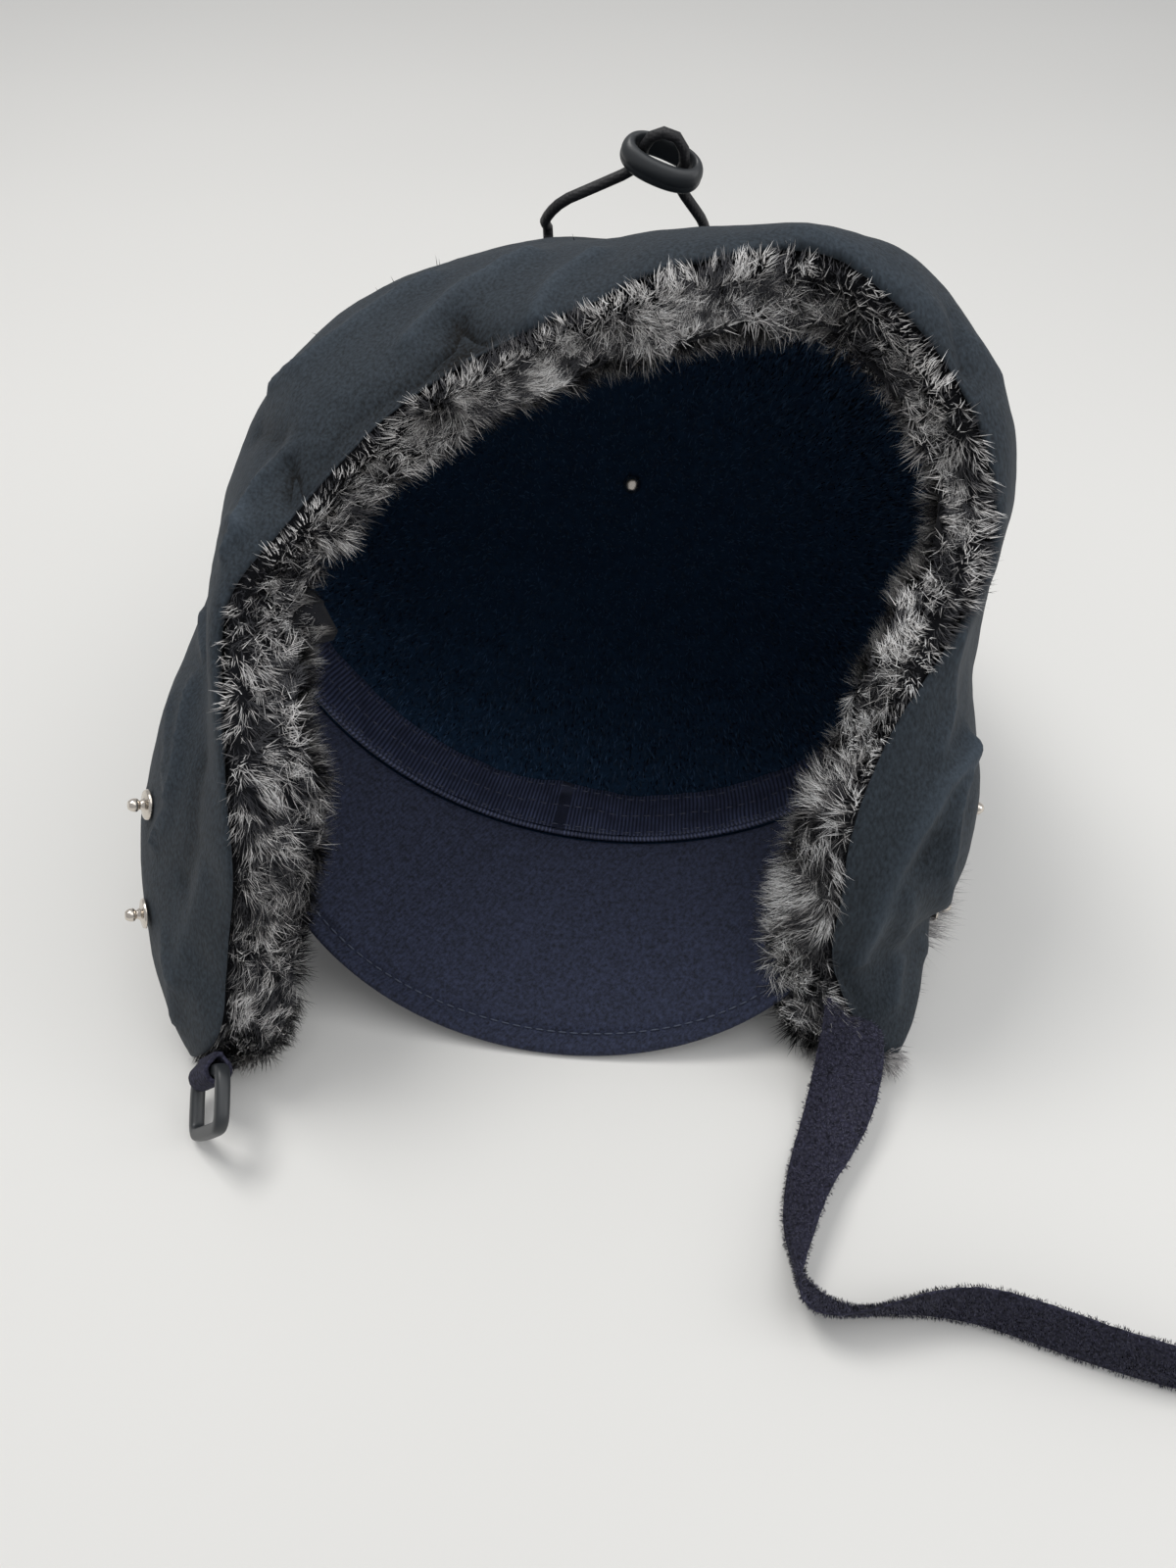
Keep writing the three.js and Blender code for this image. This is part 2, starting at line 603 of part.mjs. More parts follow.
// Where a round base seats on a wall: looks inward along a line and keeps the base clear
function seatOn(geometry, from, towards, radius) {
  const wall = new THREE.Mesh(geometry, new THREE.MeshBasicMaterial({ side: THREE.DoubleSide }));
  const ray = new THREE.Raycaster(from, towards);
  const hit = ray.intersectObject(wall)[0];
  const normal = hit.face.normal.clone();
  const spin = new THREE.Quaternion().setFromUnitVectors(new THREE.Vector3(0, 0, 1), normal);
  let lift = 0;
  for (let i = 0; i < 24; i += 1) {
    const out = i % 2 ? radius : radius * 0.6;
    const spot = new THREE.Vector3(out, 0, 0);
    spot.applyAxisAngle(new THREE.Vector3(0, 0, 1), (i / 24) * Math.PI * 2).applyQuaternion(spin);
    spot.add(hit.point).addScaledVector(normal, radius);
    ray.set(spot, normal.clone().negate());
    const touch = ray.intersectObject(wall)[0];
    if (touch) lift = Math.max(lift, radius - touch.distance);
  }
  return { point: hit.point.addScaledVector(normal, lift + GAP), spin };
}

// Studs: section is the place in the flap's table, down the share of the way to the hem
const STUDS = [
  { name: "stud_left_upper", section: 3.1, down: 0.6 },
  { name: "stud_left_lower", section: 2.1, down: 0.72 },
  { name: "stud_right_upper", section: 24.1, down: 0.24 },
  { name: "stud_right_lower", section: 26.8, down: 0.48 },
];

function studSeat({ section, down }) {
  const share = section / (FLAP_SECTIONS.length - 1);
  const step = 0.004;
  const here = (s, d) => rest(flapPoint(s, d).applyMatrix4(lying));
  const across = here(share + step, down).sub(here(share - step, down));
  const along = here(share, down + 0.01).sub(here(share, down - 0.01));
  const outward = along.cross(across).normalize();
  const from = here(share, down).addScaledVector(outward, FLAP_LENGTH / 4);
  return seatOn(flapShell, from, outward.negate(), STUD_BASE_DIAMETER / 2);
}

// Hem of the flap at a place in its table, and the way on from it
function hemAt(section) {
  return rest(flapPoint(section / (FLAP_SECTIONS.length - 1), 1).applyMatrix4(lying));
}

function hemReach(section) {
  const seam = flapPoint(section / (FLAP_SECTIONS.length - 1), 0).applyMatrix4(lying);
  return hemAt(section).sub(rest(seam)).normalize();
}

// Ring: a rounded loop of bar, held along the end of the left ear flap
const ringAlong = hemAt(2).sub(hemAt(1)).normalize();
const ringOut = new THREE.Vector3().copy(RING_HANGS);
ringOut.addScaledVector(ringAlong, -ringOut.dot(ringAlong)).normalize();
const ringUp = ringAlong.clone().cross(ringOut).normalize();
const ringBarMiddle = hemAt(RING_SECTION).addScaledVector(ringOut, TAB_REACH);
const ringMiddle = ringBarMiddle.clone().addScaledVector(ringOut, (RING_OPENING + RING_BAR) / 2);

function ringSection(bar) {
  const flat = bar / 2;
  const cut = bar * 0.2;
  const corner = [[flat, -flat + cut], [flat, flat - cut], [flat - cut, flat], [-flat + cut, flat]];
  return [...corner, ...corner.map(([x, y]) => [-x, -y])];
}

function ringGeometry() {
  const halfLong = (WEBBING_WIDTH + RING_BAR) / 2;
  const halfWide = (RING_OPENING + RING_BAR) / 2;
  const corner = RING_BAR * 0.9;
  const columns = [];
  [[1, 1], [-1, 1], [-1, -1], [1, -1]].forEach(([sx, sy], quarter) => {
    for (let k = 0; k <= 3; k += 1) {
      const turn = (quarter * 90 + k * 30) * degrees;
      const x = sx * (halfLong - corner);
      const y = sy * (halfWide - corner);
      columns.push(
        ringSection(RING_BAR).map(([out, up]) => new THREE.Vector3(
          x + (corner + out) * Math.cos(turn),
          y + (corner + out) * Math.sin(turn),
          up,
        )),
      );
    }
  });
  return closedRing(columns);
}

// Closed ring from equal sections, each a list of points
function closedRing(columns) {
  const corners = columns.flat().flatMap((point) => point.toArray());
  const sides = columns[0].length;
  const faces = [];
  columns.forEach((_, i) => {
    const k = (i + 1) % columns.length;
    for (let j = 0; j < sides; j += 1) {
      const m = (j + 1) % sides;
      faces.push(i * sides + j, k * sides + j, k * sides + m, i * sides + j, k * sides + m, i * sides + m);
    }
  });
  return bodyFrom(corners, faces);
}

const ring = ringGeometry();

// Tab: webbing folded round the bar of the ring next to the flap, its two ends sewn together
function tabGeometry() {
  const inside = RING_BAR * RING_BAR_CORNER + GAP;
  const outside = inside + TAB_THICK;
  const tail = TAB_REACH - GAP;
  const open = 120 * degrees;
  const shape = new THREE.Shape();
  shape.moveTo(-tail, TAB_THICK);
  shape.lineTo(-outside, TAB_THICK);
  shape.absarc(0, 0, outside, open, -open, true);
  shape.lineTo(-outside, -TAB_THICK);
  shape.lineTo(-tail, -TAB_THICK);
  shape.closePath();
  const eye = new THREE.Path();
  eye.moveTo(-outside, 0);
  eye.lineTo(inside * Math.cos(open), -inside * Math.sin(open));
  eye.absarc(0, 0, inside, -open, open, false);
  eye.closePath();
  shape.holes.push(eye);
  const width = WEBBING_WIDTH - RING_BAR;
  const body = new THREE.ExtrudeGeometry(shape, { depth: width, bevelEnabled: false, curveSegments: 8 });
  return body.translate(0, 0, -width / 2);
}

const tab = tabGeometry();

// Chin strap: the route of its smooth edge from the flap's end, a row a section. step: share of
// STRAP_LENGTH from the row before; turn: heading in degrees from the right; climb: degrees up;
// lean: degrees from upright of the webbing's width, towards the left of the heading.
const STRAP_SECTIONS = [
  { step: 0, turn: 254, climb: -27, lean: 128 },
  { step: 0.05, turn: 262, climb: -50, lean: 112 },
  { step: 0.07, turn: 258, climb: -60, lean: 90 },
  { step: 0.06, turn: 255, climb: -50, lean: 68 },
  { step: 0.055, turn: 250, climb: -42, lean: 50 },
  { step: 0.065, turn: 249, climb: 0, lean: 45 },
  { step: 0.07, turn: 258, climb: 0, lean: 40 },
  { step: 0.05, turn: 276, climb: 0, lean: 28 },
  { step: 0.045, turn: 300, climb: 0, lean: 15 },
  { step: 0.045, turn: 325, climb: 0, lean: 7 },
  { step: 0.05, turn: 346, climb: 0, lean: 9 },
  { step: 0.06, turn: 358, climb: 0, lean: 12 },
  { step: 0.06, turn: 352, climb: 0, lean: 12 },
  { step: 0.06, turn: 342, climb: 0, lean: 11 },
  { step: 0.075, turn: 339, climb: 0, lean: 10 },
  { step: 0.085, turn: 342, climb: 0, lean: 10 },
  { step: 0.09, turn: 346, climb: 0, lean: 10 },
];

function strapColumns() {
  const place = hemAt(STRAP_FROM).addScaledVector(hemReach(STRAP_FROM), STRAP_THICK);
  const along = hemAt(STRAP_TO).sub(hemAt(STRAP_FROM)).normalize();
  return STRAP_SECTIONS.map(({ step, turn, climb, lean }, i) => {
    const heading = new THREE.Vector3(
      Math.cos(climb * degrees) * Math.cos(turn * degrees),
      Math.cos(climb * degrees) * Math.sin(turn * degrees),
      Math.sin(climb * degrees),
    );
    place.addScaledVector(heading, step * STRAP_LENGTH);
    const left = new THREE.Vector3(0, 0, 1).cross(heading).normalize();
    const up = heading.clone().cross(left).normalize();
    const width = up.multiplyScalar(Math.cos(lean * degrees));
    width.addScaledVector(left, Math.sin(lean * degrees));
    if (i === 0) width.copy(along);
    const face = heading.clone().cross(width).normalize();
    const corner = (across, out) =>
      place.clone().addScaledVector(width, across * WEBBING_WIDTH).addScaledVector(face, out * STRAP_THICK);
    const section = [corner(0, 0.3), corner(0.5, 0.5), corner(1, 0.3)];
    section.push(corner(1, -0.3), corner(0.5, -0.5), corner(0, -0.3));
    return section;
  });
}

// Closed body from a row of equal sections, each a loop of points
function loftThrough(sections) {
  const sides = sections[0].length;
  const corners = sections.flat().flatMap((point) => point.toArray());
  const faces = [];
  for (let i = 0; i < sections.length - 1; i += 1) {
    for (let j = 0; j < sides; j += 1) {
      const m = (j + 1) % sides;
      const a = i * sides;
      const b = a + sides;
      faces.push(a + j, b + j, b + m, a + j, b + m, a + m);
    }
  }
  const end = (sections.length - 1) * sides;
  for (let j = 1; j < sides - 1; j += 1) {
    faces.push(0, j, j + 1);
    faces.push(end, end + j + 1, end + j);
  }
  return bodyFrom(corners, faces);
}

const strapLoops = strapColumns();
strapLoops.forEach((loop) => {
  const sunk = Math.min(...loop.map((point) => point.z));
  loop.forEach((point) => {
    point.z -= Math.min(0, sunk);
  });
});
const strap = loftThrough(strapLoops);

// Cord lock: a thick oval ring with a groove round its side between its two halves
function ovalPoint(width, depth, turn) {
  const c = Math.cos(turn);
  const s = Math.sin(turn);
  const power = 2 / LOCK_SQUARENESS;
  return [
    (width / 2) * Math.sign(c) * Math.abs(c) ** power,
    (depth / 2) * Math.sign(s) * Math.abs(s) ** power,
  ];
}

// Section of the lock from the slot outward and back: share of the way out, share of the height
const LOCK_PROFILE = [
  { out: 0.08, up: -0.8 },
  { out: 0.5, up: -1 },
  { out: 0.9, up: -0.6 },
  { out: 1, up: -0.14 },
  { out: 0.92, up: 0 },
  { out: 1, up: 0.14 },
  { out: 0.9, up: 0.6 },
  { out: 0.5, up: 1 },
  { out: 0.08, up: 0.8 },
  { out: 0, up: 0 },
];

function lockGeometry() {
  const columns = [];
  for (let i = 0; i < LOCK_COLUMNS; i += 1) {
    const turn = (i / LOCK_COLUMNS) * Math.PI * 2;
    const [outX, outY] = ovalPoint(LOCK_WIDTH, LOCK_DEPTH, turn);
    const [inX, inY] = ovalPoint(LOCK_SLOT_WIDTH, LOCK_SLOT_DEPTH, turn);
    const section = LOCK_PROFILE.map(({ out, up }) => new THREE.Vector3(
      THREE.MathUtils.lerp(inX, outX, out),
      THREE.MathUtils.lerp(inY, outY - LOCK_SHIFT, out),
      (up * LOCK_THICK) / 2,
    ));
    columns.push(section);
  }
  return closedRing(columns);
}

const lock = lockGeometry();
const lockAcross = new THREE.Vector3().copy(LOCK_ACROSS).normalize();
const lockUp = new THREE.Vector3().copy(LOCK_UP);
lockUp.addScaledVector(lockAcross, -lockUp.dot(lockAcross)).normalize();
const lockDeep = lockUp.clone().cross(lockAcross);
const lockMiddle = new THREE.Vector3().copy(LOCK_MIDDLE);

// Drawcord: from an exit at the back of the crown up through the lock, over and down again.
// Each exit is found on the crown by looking down, and a row is a bend of a free leg.
const CORD_EXITS = { left: { x: -15, y: 70 }, right: { x: 29, y: 70 } };
const CORD_BENDS = [
  { leg: "left", x: -15.5, y: 64.5, z: 171.5 },
  { leg: "left", x: -10.5, y: 57.5, z: 179.5 },
  { leg: "left", x: -2.5, y: 57.5, z: 183 },
  { leg: "right", x: 27, y: 64, z: 171 },
  { leg: "right", x: 22.6, y: 58, z: 179 },
];

function cordLeg(leg) {
  const { x, y } = CORD_EXITS[leg];
  const above = new THREE.Vector3(x, y, openingHeight * 3);
  const seat = seatOn(crownShell, above, new THREE.Vector3(0, 0, -1), CORD_DIAMETER / 2);
  const out = new THREE.Vector3(0, 0, CORD_DIAMETER).applyQuaternion(seat.spin).add(seat.point);
  const bends = CORD_BENDS.filter((row) => row.leg === leg);
  return [seat.point, out, ...bends.map((bend) => new THREE.Vector3().copy(bend))];
}

// The cord's place in the lock: sideways from its middle and up
function inLock({ side, up }) {
  const across = (side * (LOCK_SLOT_WIDTH - CORD_DIAMETER * 1.5)) / 2;
  return lockMiddle.clone().addScaledVector(lockAcross, across).addScaledVector(lockUp, up * LOCK_THICK);
}

// Way of the cord through the lock: shares of the slot's half width and of the lock's height
const LOCK_ROUTE = [
  { side: -1, up: -0.6 },
  { side: -1, up: 0 },
  { side: -0.9, up: 0.6 },
  { side: 0, up: 1.15 },
  { side: 0.9, up: 0.6 },
  { side: 1, up: 0 },
  { side: 1, up: -0.6 },
];
const cordPath = new THREE.CatmullRomCurve3([
  ...cordLeg("left"),
  ...LOCK_ROUTE.map(inLock),
  ...cordLeg("right").reverse(),
]);
const cord = tubeAlong(cordPath, CORD_DIAMETER, 8, CORD_STEPS);

// Colours, roughness and metalness of the real materials
const looks = {
  shell: { color: 0x2c363c, roughness: 0.72, metalness: 0 },
  lining: { color: 0x0c1018, roughness: 0.95, metalness: 0 },
  band: { color: 0x10131c, roughness: 0.7, metalness: 0 },
  peak: { color: 0x171c27, roughness: 0.85, metalness: 0 },
  fur: { color: 0x827c7a, roughness: 0.95, metalness: 0 },
  metal: { color: 0xcfc6ba, roughness: 0.25, metalness: 1 },
  plastic: { color: 0x2b2d30, roughness: 0.45, metalness: 0 },
  webbing: { color: 0x14151e, roughness: 0.95, metalness: 0 },
  cord: { color: 0x17171a, roughness: 0.85, metalness: 0 },
};

const cap = new THREE.Group();
const crownFrame = new THREE.Group();
crownFrame.applyMatrix4(lying);
crownFrame.position.z = openingHeight;

function add(name, geometry, look, parent = cap) {
  const mesh = new THREE.Mesh(geometry, new THREE.MeshStandardMaterial(looks[look]));
  mesh.name = name;
  parent.add(mesh);
  return mesh;
}

add("crown_shell", crownShell, "shell");
add("crown_lining", crownLining, "lining");
add("sweatband", sweatband, "band");
add("peak", peak, "peak");
add("peak_piping", piping, "band");
add("flap_shell", flapShell, "shell");
add("flap_fur", flapFur, "fur");
cap.add(crownFrame);

const topRise = crownRises[crownRises.length - 1];
const shellTop = wallPoint(0, topRise, shellOutside(heightAt(topRise), 15)).z;
const liningTop = wallPoint(0, topRise, liningInside(heightAt(topRise))).z;
add("crown_button", button, "shell", crownFrame).position.set(0, -CROWN_SET_BACK, shellTop + GAP);
const rivetMesh = add("button_rivet", rivet, "metal", crownFrame);
rivetMesh.rotation.x = Math.PI;
rivetMesh.position.set(0, -CROWN_SET_BACK, liningTop - GAP);

STUDS.forEach((row) => {
  const seat = studSeat(row);
  const mesh = add(row.name, stud.clone(), "metal");
  mesh.position.copy(seat.point);
  mesh.quaternion.copy(seat.spin);
});

const ringTurn = new THREE.Matrix4().makeBasis(ringAlong, ringOut, ringUp);
const ringMesh = add("slider_ring", ring, "plastic");
ringMesh.applyMatrix4(ringTurn);
ringMesh.position.copy(ringMiddle);
const tabMesh = add("ring_tab", tab, "webbing");
const tabSide = ringOut.clone();
tabMesh.applyMatrix4(new THREE.Matrix4().makeBasis(tabSide, ringUp, tabSide.clone().cross(ringUp)));
tabMesh.position.copy(ringBarMiddle);

add("chin_strap", strap, "webbing");

const lockMesh = add("cord_lock", lock, "plastic");
lockMesh.applyMatrix4(new THREE.Matrix4().makeBasis(lockAcross, lockDeep, lockUp));
lockMesh.position.copy(lockMiddle);
add("drawcord", cord, "cord");

// The middle of the cap's box stands over the origin; the drawcord and its lock are left out
const box = new THREE.Box3();
cap.updateMatrixWorld(true);
cap.traverse((part) => {
  if (part.isMesh && !["drawcord", "cord_lock"].includes(part.name)) box.expandByObject(part, true);
});
cap.position.set(-(box.min.x + box.max.x) / 2, -(box.min.y + box.max.y) / 2, 0);

export default cap;
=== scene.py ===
import math

import bmesh
import bpy
import numpy as np
from mathutils import Matrix, Vector, noise
from mathutils.bvhtree import BVHTree
from mathutils.kdtree import KDTree


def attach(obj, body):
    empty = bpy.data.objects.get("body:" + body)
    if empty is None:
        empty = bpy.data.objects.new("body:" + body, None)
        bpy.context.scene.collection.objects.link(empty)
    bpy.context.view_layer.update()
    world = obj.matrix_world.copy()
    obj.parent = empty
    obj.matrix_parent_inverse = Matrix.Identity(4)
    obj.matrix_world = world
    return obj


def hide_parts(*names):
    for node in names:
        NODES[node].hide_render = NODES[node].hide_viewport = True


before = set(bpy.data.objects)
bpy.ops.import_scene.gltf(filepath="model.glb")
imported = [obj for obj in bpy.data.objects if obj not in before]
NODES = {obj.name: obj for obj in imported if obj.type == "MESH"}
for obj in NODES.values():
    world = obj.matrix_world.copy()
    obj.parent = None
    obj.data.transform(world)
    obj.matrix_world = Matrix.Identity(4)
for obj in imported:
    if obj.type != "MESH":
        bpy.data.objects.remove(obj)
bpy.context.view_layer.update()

bl_info = {
    "name": "Earflap cap",
    "version": (1, 0, 0),
    "blender": (4, 5, 0),
    "location": "3D View > Sidebar > Cap",
    "description": "Builds the cloth, pile, webbing and fittings of a padded winter cap",
    "category": "Object",
}

MM = 0.001
VECTOR_NOISE_SEED = 7

# How the cap lies: its own frame has x to the wearer's right, y to the front and z to the top
# of the crown, with the middle of the head opening at its origin
CAP_TO_SCENE = (
    Matrix.Translation(Vector((-7.55, 28.4, 101.65)) * MM)
    @ Matrix.Rotation(math.radians(-6.0), 4, "Z")
    @ Matrix.Rotation(math.radians(-116.7), 4, "X")
    @ Matrix.Rotation(math.radians(5.7), 4, "Z")
)
CROWN_UP = np.array(CAP_TO_SCENE.to_3x3() @ Vector((0, 0, 1)))
RIM_MIDDLE = np.array(CAP_TO_SCENE.to_translation())
RIM_RADIUS = 90 * MM

# Lamps: name, place, size in metres, power in watts and colour
LAMPS = (
    ("key", (-0.4, 0.25, 1.1), 0.45, 6.0, (1.0, 0.99, 0.97)),
    ("fill", (0.4, -0.15, 1.1), 0.9, 3.6, (0.98, 0.99, 1.0)),
    ("side", (0.9, -0.2, 0.5), 0.5, 1.8, (1.0, 1.0, 1.0)),
)
LAMP_AIM = (0, 0, 0.05)
FLOOR_REACH = 3.0

# Camera: where it stands in mm, how far it looks down and its lens on a 36 mm frame
CAMERA_PLACE = (-11.55, -227.6, 317.0)
CAMERA_DOWN = 50.0
CAMERA_LENS = 27.05

# Drawcord: the points of its route in mm, from its left exit up through the lock and back
CORD_ROUTE = [
    (-22.55, 98.56, 163.56),
    (-22.69, 99.73, 166.61),
    (-23.14, 96.78, 168.79),
    (-23.19, 93.7, 170.83),
    (-22.4, 91.07, 173.28),
    (-21.1, 88.71, 175.82),
    (-19.28, 86.67, 178.31),
    (-16.57, 85.51, 180.45),
    (-13.15, 85.61, 181.83),
    (-9.72, 85.91, 183.14),
    (-6.27, 86.29, 184.44),
    (-2.82, 86.75, 185.71),
    (0.47, 86.99, 187.36),
    (2.03, 85.97, 190.34),
    (2.58, 84.4, 193.63),
    (4.17, 82.81, 196.47),
    (7.08, 81.23, 198.08),
    (10.3, 80.45, 197.27),
    (12.27, 80.94, 194.2),
    (12.69, 82.07, 190.79),
    (11.88, 83.54, 187.5),
    (11.57, 84.93, 184.19),
    (13.54, 85.62, 181.15),
    (15.5, 86.8, 178.26),
    (17.14, 88.72, 175.56),
    (18.59, 90.87, 172.93),
    (19.76, 93.04, 170.18),
    (20.61, 95.42, 167.47),
    (21.3, 97.81, 164.74),
    (21.82, 99.85, 161.7),
    (21.5, 98.56, 158.57),
]

# Strap: the middle of its bend in mm, from above, how far the bend reaches in mm, its extra lean
# there in degrees, the way it leans, and the number of its loops
STRAP_BEND = (51, -122)
STRAP_BEND_REACH = 24
STRAP_LEAN = 50
STRAP_LEAN_WAY = (0.65, 0.76)
STRAP_LOOPS = 24000

# Peak: its width, the height of its corners over the opening's middle, half the opening's depth
# and its reach past it, and how far its stitches lie inside the rim, all in mm
PEAK_WIDTH = 184
PEAK_CORNER = 50
RIM_HALF_DEPTH = 79
PEAK_REACH = 53
PEAK_STITCH_INSET = 5
PEAK_STITCH_PITCH = 3.4

# Band: the heights of its rows of stitches in mm and the step between stitches
BAND_ROWS = (2.5, 13.0, 23.5)
BAND_STITCH_PITCH = 3.7

# Lining: number of its short hairs
LINING_HAIRS = 30000

PILE_SINK = 5 * MM

# Pile past the right flap's edge: the ends of its root line in mm, its way, its length in mm
# and its number of hairs
PILE_TUFTS = [
    ((84, -23, 36), (81, -37, 21), (0.95, -0.1, 0.15), 14, 900),
    ((80, -43, 14), (76, -56, 4), (0.9, -0.2, 0.15), 8, 400),
    ((77, -66, 3), (72, -72, 9), (0.45, -0.8, 0.3), 6, 350),
]

# Folds of the shell cloth: width and height in mm, negative for a hollow, and the points of
# each crest in mm. FOLD_GAIN raises them all, FOLD_FALL shapes their sides
FOLD_GAIN = 1.3
FOLD_FALL = 1.3
SHELL_FOLDS = [
    ("crest ridge", 3.5, 2.2,
     [(-25, 44, 185), (-34, 36, 184), (-41, 33, 182), (-47, 27, 179), (-52, 22, 177)]),
    ("upper ridge", 3.0, 2.0,
     [(-10, 33, 191), (-17, 26, 190), (-21, 19, 188), (-23, 14, 186)]),
    ("long brow", 3.5, 1.8,
     [(-49, 47, 178), (-59, 43, 175), (-70, 36, 171), (-80, 33, 165), (-90, 37, 156)]),
    ("dimple", 4.0, -3.0,
     [(-42, 24, 181), (-40, 16, 180), (-43, 13, 178)]),
    ("hem hollow", 6.0, -1.6,
     [(-33, 14, 182), (-46, 11, 176), (-55, 9, 171), (-66, 6, 166), (-72, 0, 159)]),
    ("knot ridge", 2.5, 2.2,
     [(-83, 7, 157), (-88, 4, 152), (-91, 0, 148), (-92, -6, 145), (-96, -9, 141)]),
    ("knot hollow", 3.5, -2.6,
     [(-82, 4, 157), (-80, -4, 153)]),
    ("brow hollow", 5.0, -1.6,
     [(-95, 27, 150), (-86, 14, 157)]),
    ("left tuck", 2.5, 1.2,
     [(-103, 6, 138), (-95, 0, 144), (-91, -6, 146)]),
    ("left line upper", 2.2, 1.4,
     [(-115, 10, 104), (-114, 5, 105), (-110, -6, 106)]),
    ("left line", 2.2, 1.8,
     [(-114, -12, 100), (-115, -22, 95), (-117, -32, 88), (-121, -36, 77), (-128, -36, 64)]),
    ("left line outer", 2.2, 1.2,
     [(-123, -8, 90), (-122, -21, 87), (-122, -30, 82)]),
    ("left hollow", 6.0, -1.6,
     [(-107, -37, 98), (-112, -49, 81), (-117, -51, 67)]),
    ("left low ridge", 4.0, 1.2,
     [(-109, -56, 75), (-118, -59, 51), (-124, -62, 37)]),
    ("left low line", 3.0, 1.2,
     [(-126, -54, 46), (-126, -61, 35), (-129, -65, 19)]),
    ("long diagonal", 3.5, 2.6,
     [(84, -29, 96), (76, -41, 94), (70, -49, 85), (66, -54, 75), (64, -57, 66), (62, -58, 41)]),
    ("second diagonal", 3.0, 1.8,
     [(70, -54, 71), (73, -55, 55), (75, -53, 31), (75, -60, 22)]),
    ("panel edge", 2.2, 1.8,
     [(84, -29, 96), (81, -42, 85), (81, -49, 69), (86, -47, 45), (88, -45, 24)]),
    ("panel hollow", 5.0, -1.6,
     [(76, -49, 80), (73, -52, 75), (70, -54, 71)]),
    ("right upper ridge", 3.0, 1.4,
     [(76, -24, 128), (77, -28, 109), (74, -36, 102)]),
    ("right low hollow", 4.0, -1.4,
     [(57, -60, 40), (61, -62, 31), (66, -64, 24)]),
    ("right brow", 6.0, 1.4,
     [(34, 22, 201), (53, 15, 193), (68, 14, 185), (81, 16, 171)]),
    ("right fold", 3.0, -1.6,
     [(68, 16, 185), (71, 7, 178), (88, 26, 142)]),
]


def hex_linear(code):
    """Linear colour of an sRGB hex value."""
    parts = [int(code[i : i + 2], 16) / 255 for i in (1, 3, 5)]
    return [p / 12.92 if p <= 0.04045 else ((p + 0.055) / 1.055) ** 2.4 for p in parts]


def colour_setting(name, description, code):
    """A colour setting whose default is an sRGB hex value."""
    return bpy.props.FloatVectorProperty(
        name=name,
        description=description,
        subtype="COLOR",
        default=hex_linear(code),
        min=0,
        max=1,
    )


class CapSettings(bpy.types.PropertyGroup):
    shell_colour: colour_setting("Shell cloth", "Colour of the softshell cloth", "#2A3138")
    lining_colour: colour_setting("Lining", "Colour of the short pile in the crown", "#20354D")
    band_colour: colour_setting("Band", "Colour of the sweatband's ribbon", "#40465F")
    peak_colour: colour_setting("Peak", "Colour of the twill on the peak", "#272C3F")
    pile_tip_colour: colour_setting("Pile tips", "Colour of the long pile at its tips", "#F3EFEC")
    pile_root_colour: colour_setting(
        "Pile roots", "Colour of the long pile at its roots", "#1D1F28"
    )
    metal_colour: colour_setting("Studs", "Colour of the plated studs", "#D6CEC4")
    plastic_colour: colour_setting(
        "Ring and lock", "Colour of the moulded ring and cord lock", "#2A2D30"
    )
    webbing_colour: colour_setting("Webbing", "Colour of the strap's loop webbing", "#2C2C3A")
    pile_length: bpy.props.FloatProperty(
        name="Pile length",
        description="Length of a hair of the long pile",
        default=7 * MM,
        min=4 * MM,
        max=25 * MM,
        unit="LENGTH",
    )
    hair_width: bpy.props.FloatProperty(
        name="Hair width",
        description="Width of a drawn hair; each stands for a few real ones",
        default=0.21 * MM,
        min=0.1 * MM,
        max=1 * MM,
        unit="LENGTH",
    )
    hairs_per_part: bpy.props.IntProperty(
        name="Hairs",
        description="Hairs on each of the three parts of the long pile",
        default=95000,
        min=1000,
        max=99000,
    )
    locks_per_part: bpy.props.IntProperty(
        name="Locks",
        description="Locks that the hairs of each part gather in",
        default=7000,
        min=100,
        max=20000,
    )
    stitch_length: bpy.props.FloatProperty(
        name="Stitch",
        description="Length of a stitch on the band and the peak",
        default=2.6 * MM,
        min=1 * MM,
        max=5 * MM,
        unit="LENGTH",
    )
    cord_diameter: bpy.props.FloatProperty(
        name="Drawcord",
        description="Diameter of the elastic drawcord",
        default=2.8 * MM,
        min=1 * MM,
        max=5 * MM,
        unit="LENGTH",
    )


def settings():
    """The cap's settings in the open scene."""
    return bpy.context.scene.cap_settings


# Shapes


def new_piece(name, mesh, nodes=()):
    """A mesh as a piece of the cap that rides with it and stands for the named solids."""
    piece = bpy.data.objects.new(name, mesh)
    bpy.context.scene.collection.objects.link(piece)
    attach(piece, "root")
    if nodes:
        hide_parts(*nodes)
    return piece


def points_of(mesh):
    """A mesh's points as rows."""
    points = np.zeros(len(mesh.vertices) * 3)
    mesh.vertices.foreach_get("co", points)
    return points.reshape(-1, 3)


def normals_of(mesh):
    """A mesh's smooth normals as rows."""
    normals = np.zeros(len(mesh.vertices) * 3)
    mesh.vertices.foreach_get("normal", normals)
    return normals.reshape(-1, 3)


def move_points(mesh, points):
    """Puts a mesh's points at new places."""
    mesh.vertices.foreach_set("co", points.astype(np.float32).ravel())
    mesh.update()


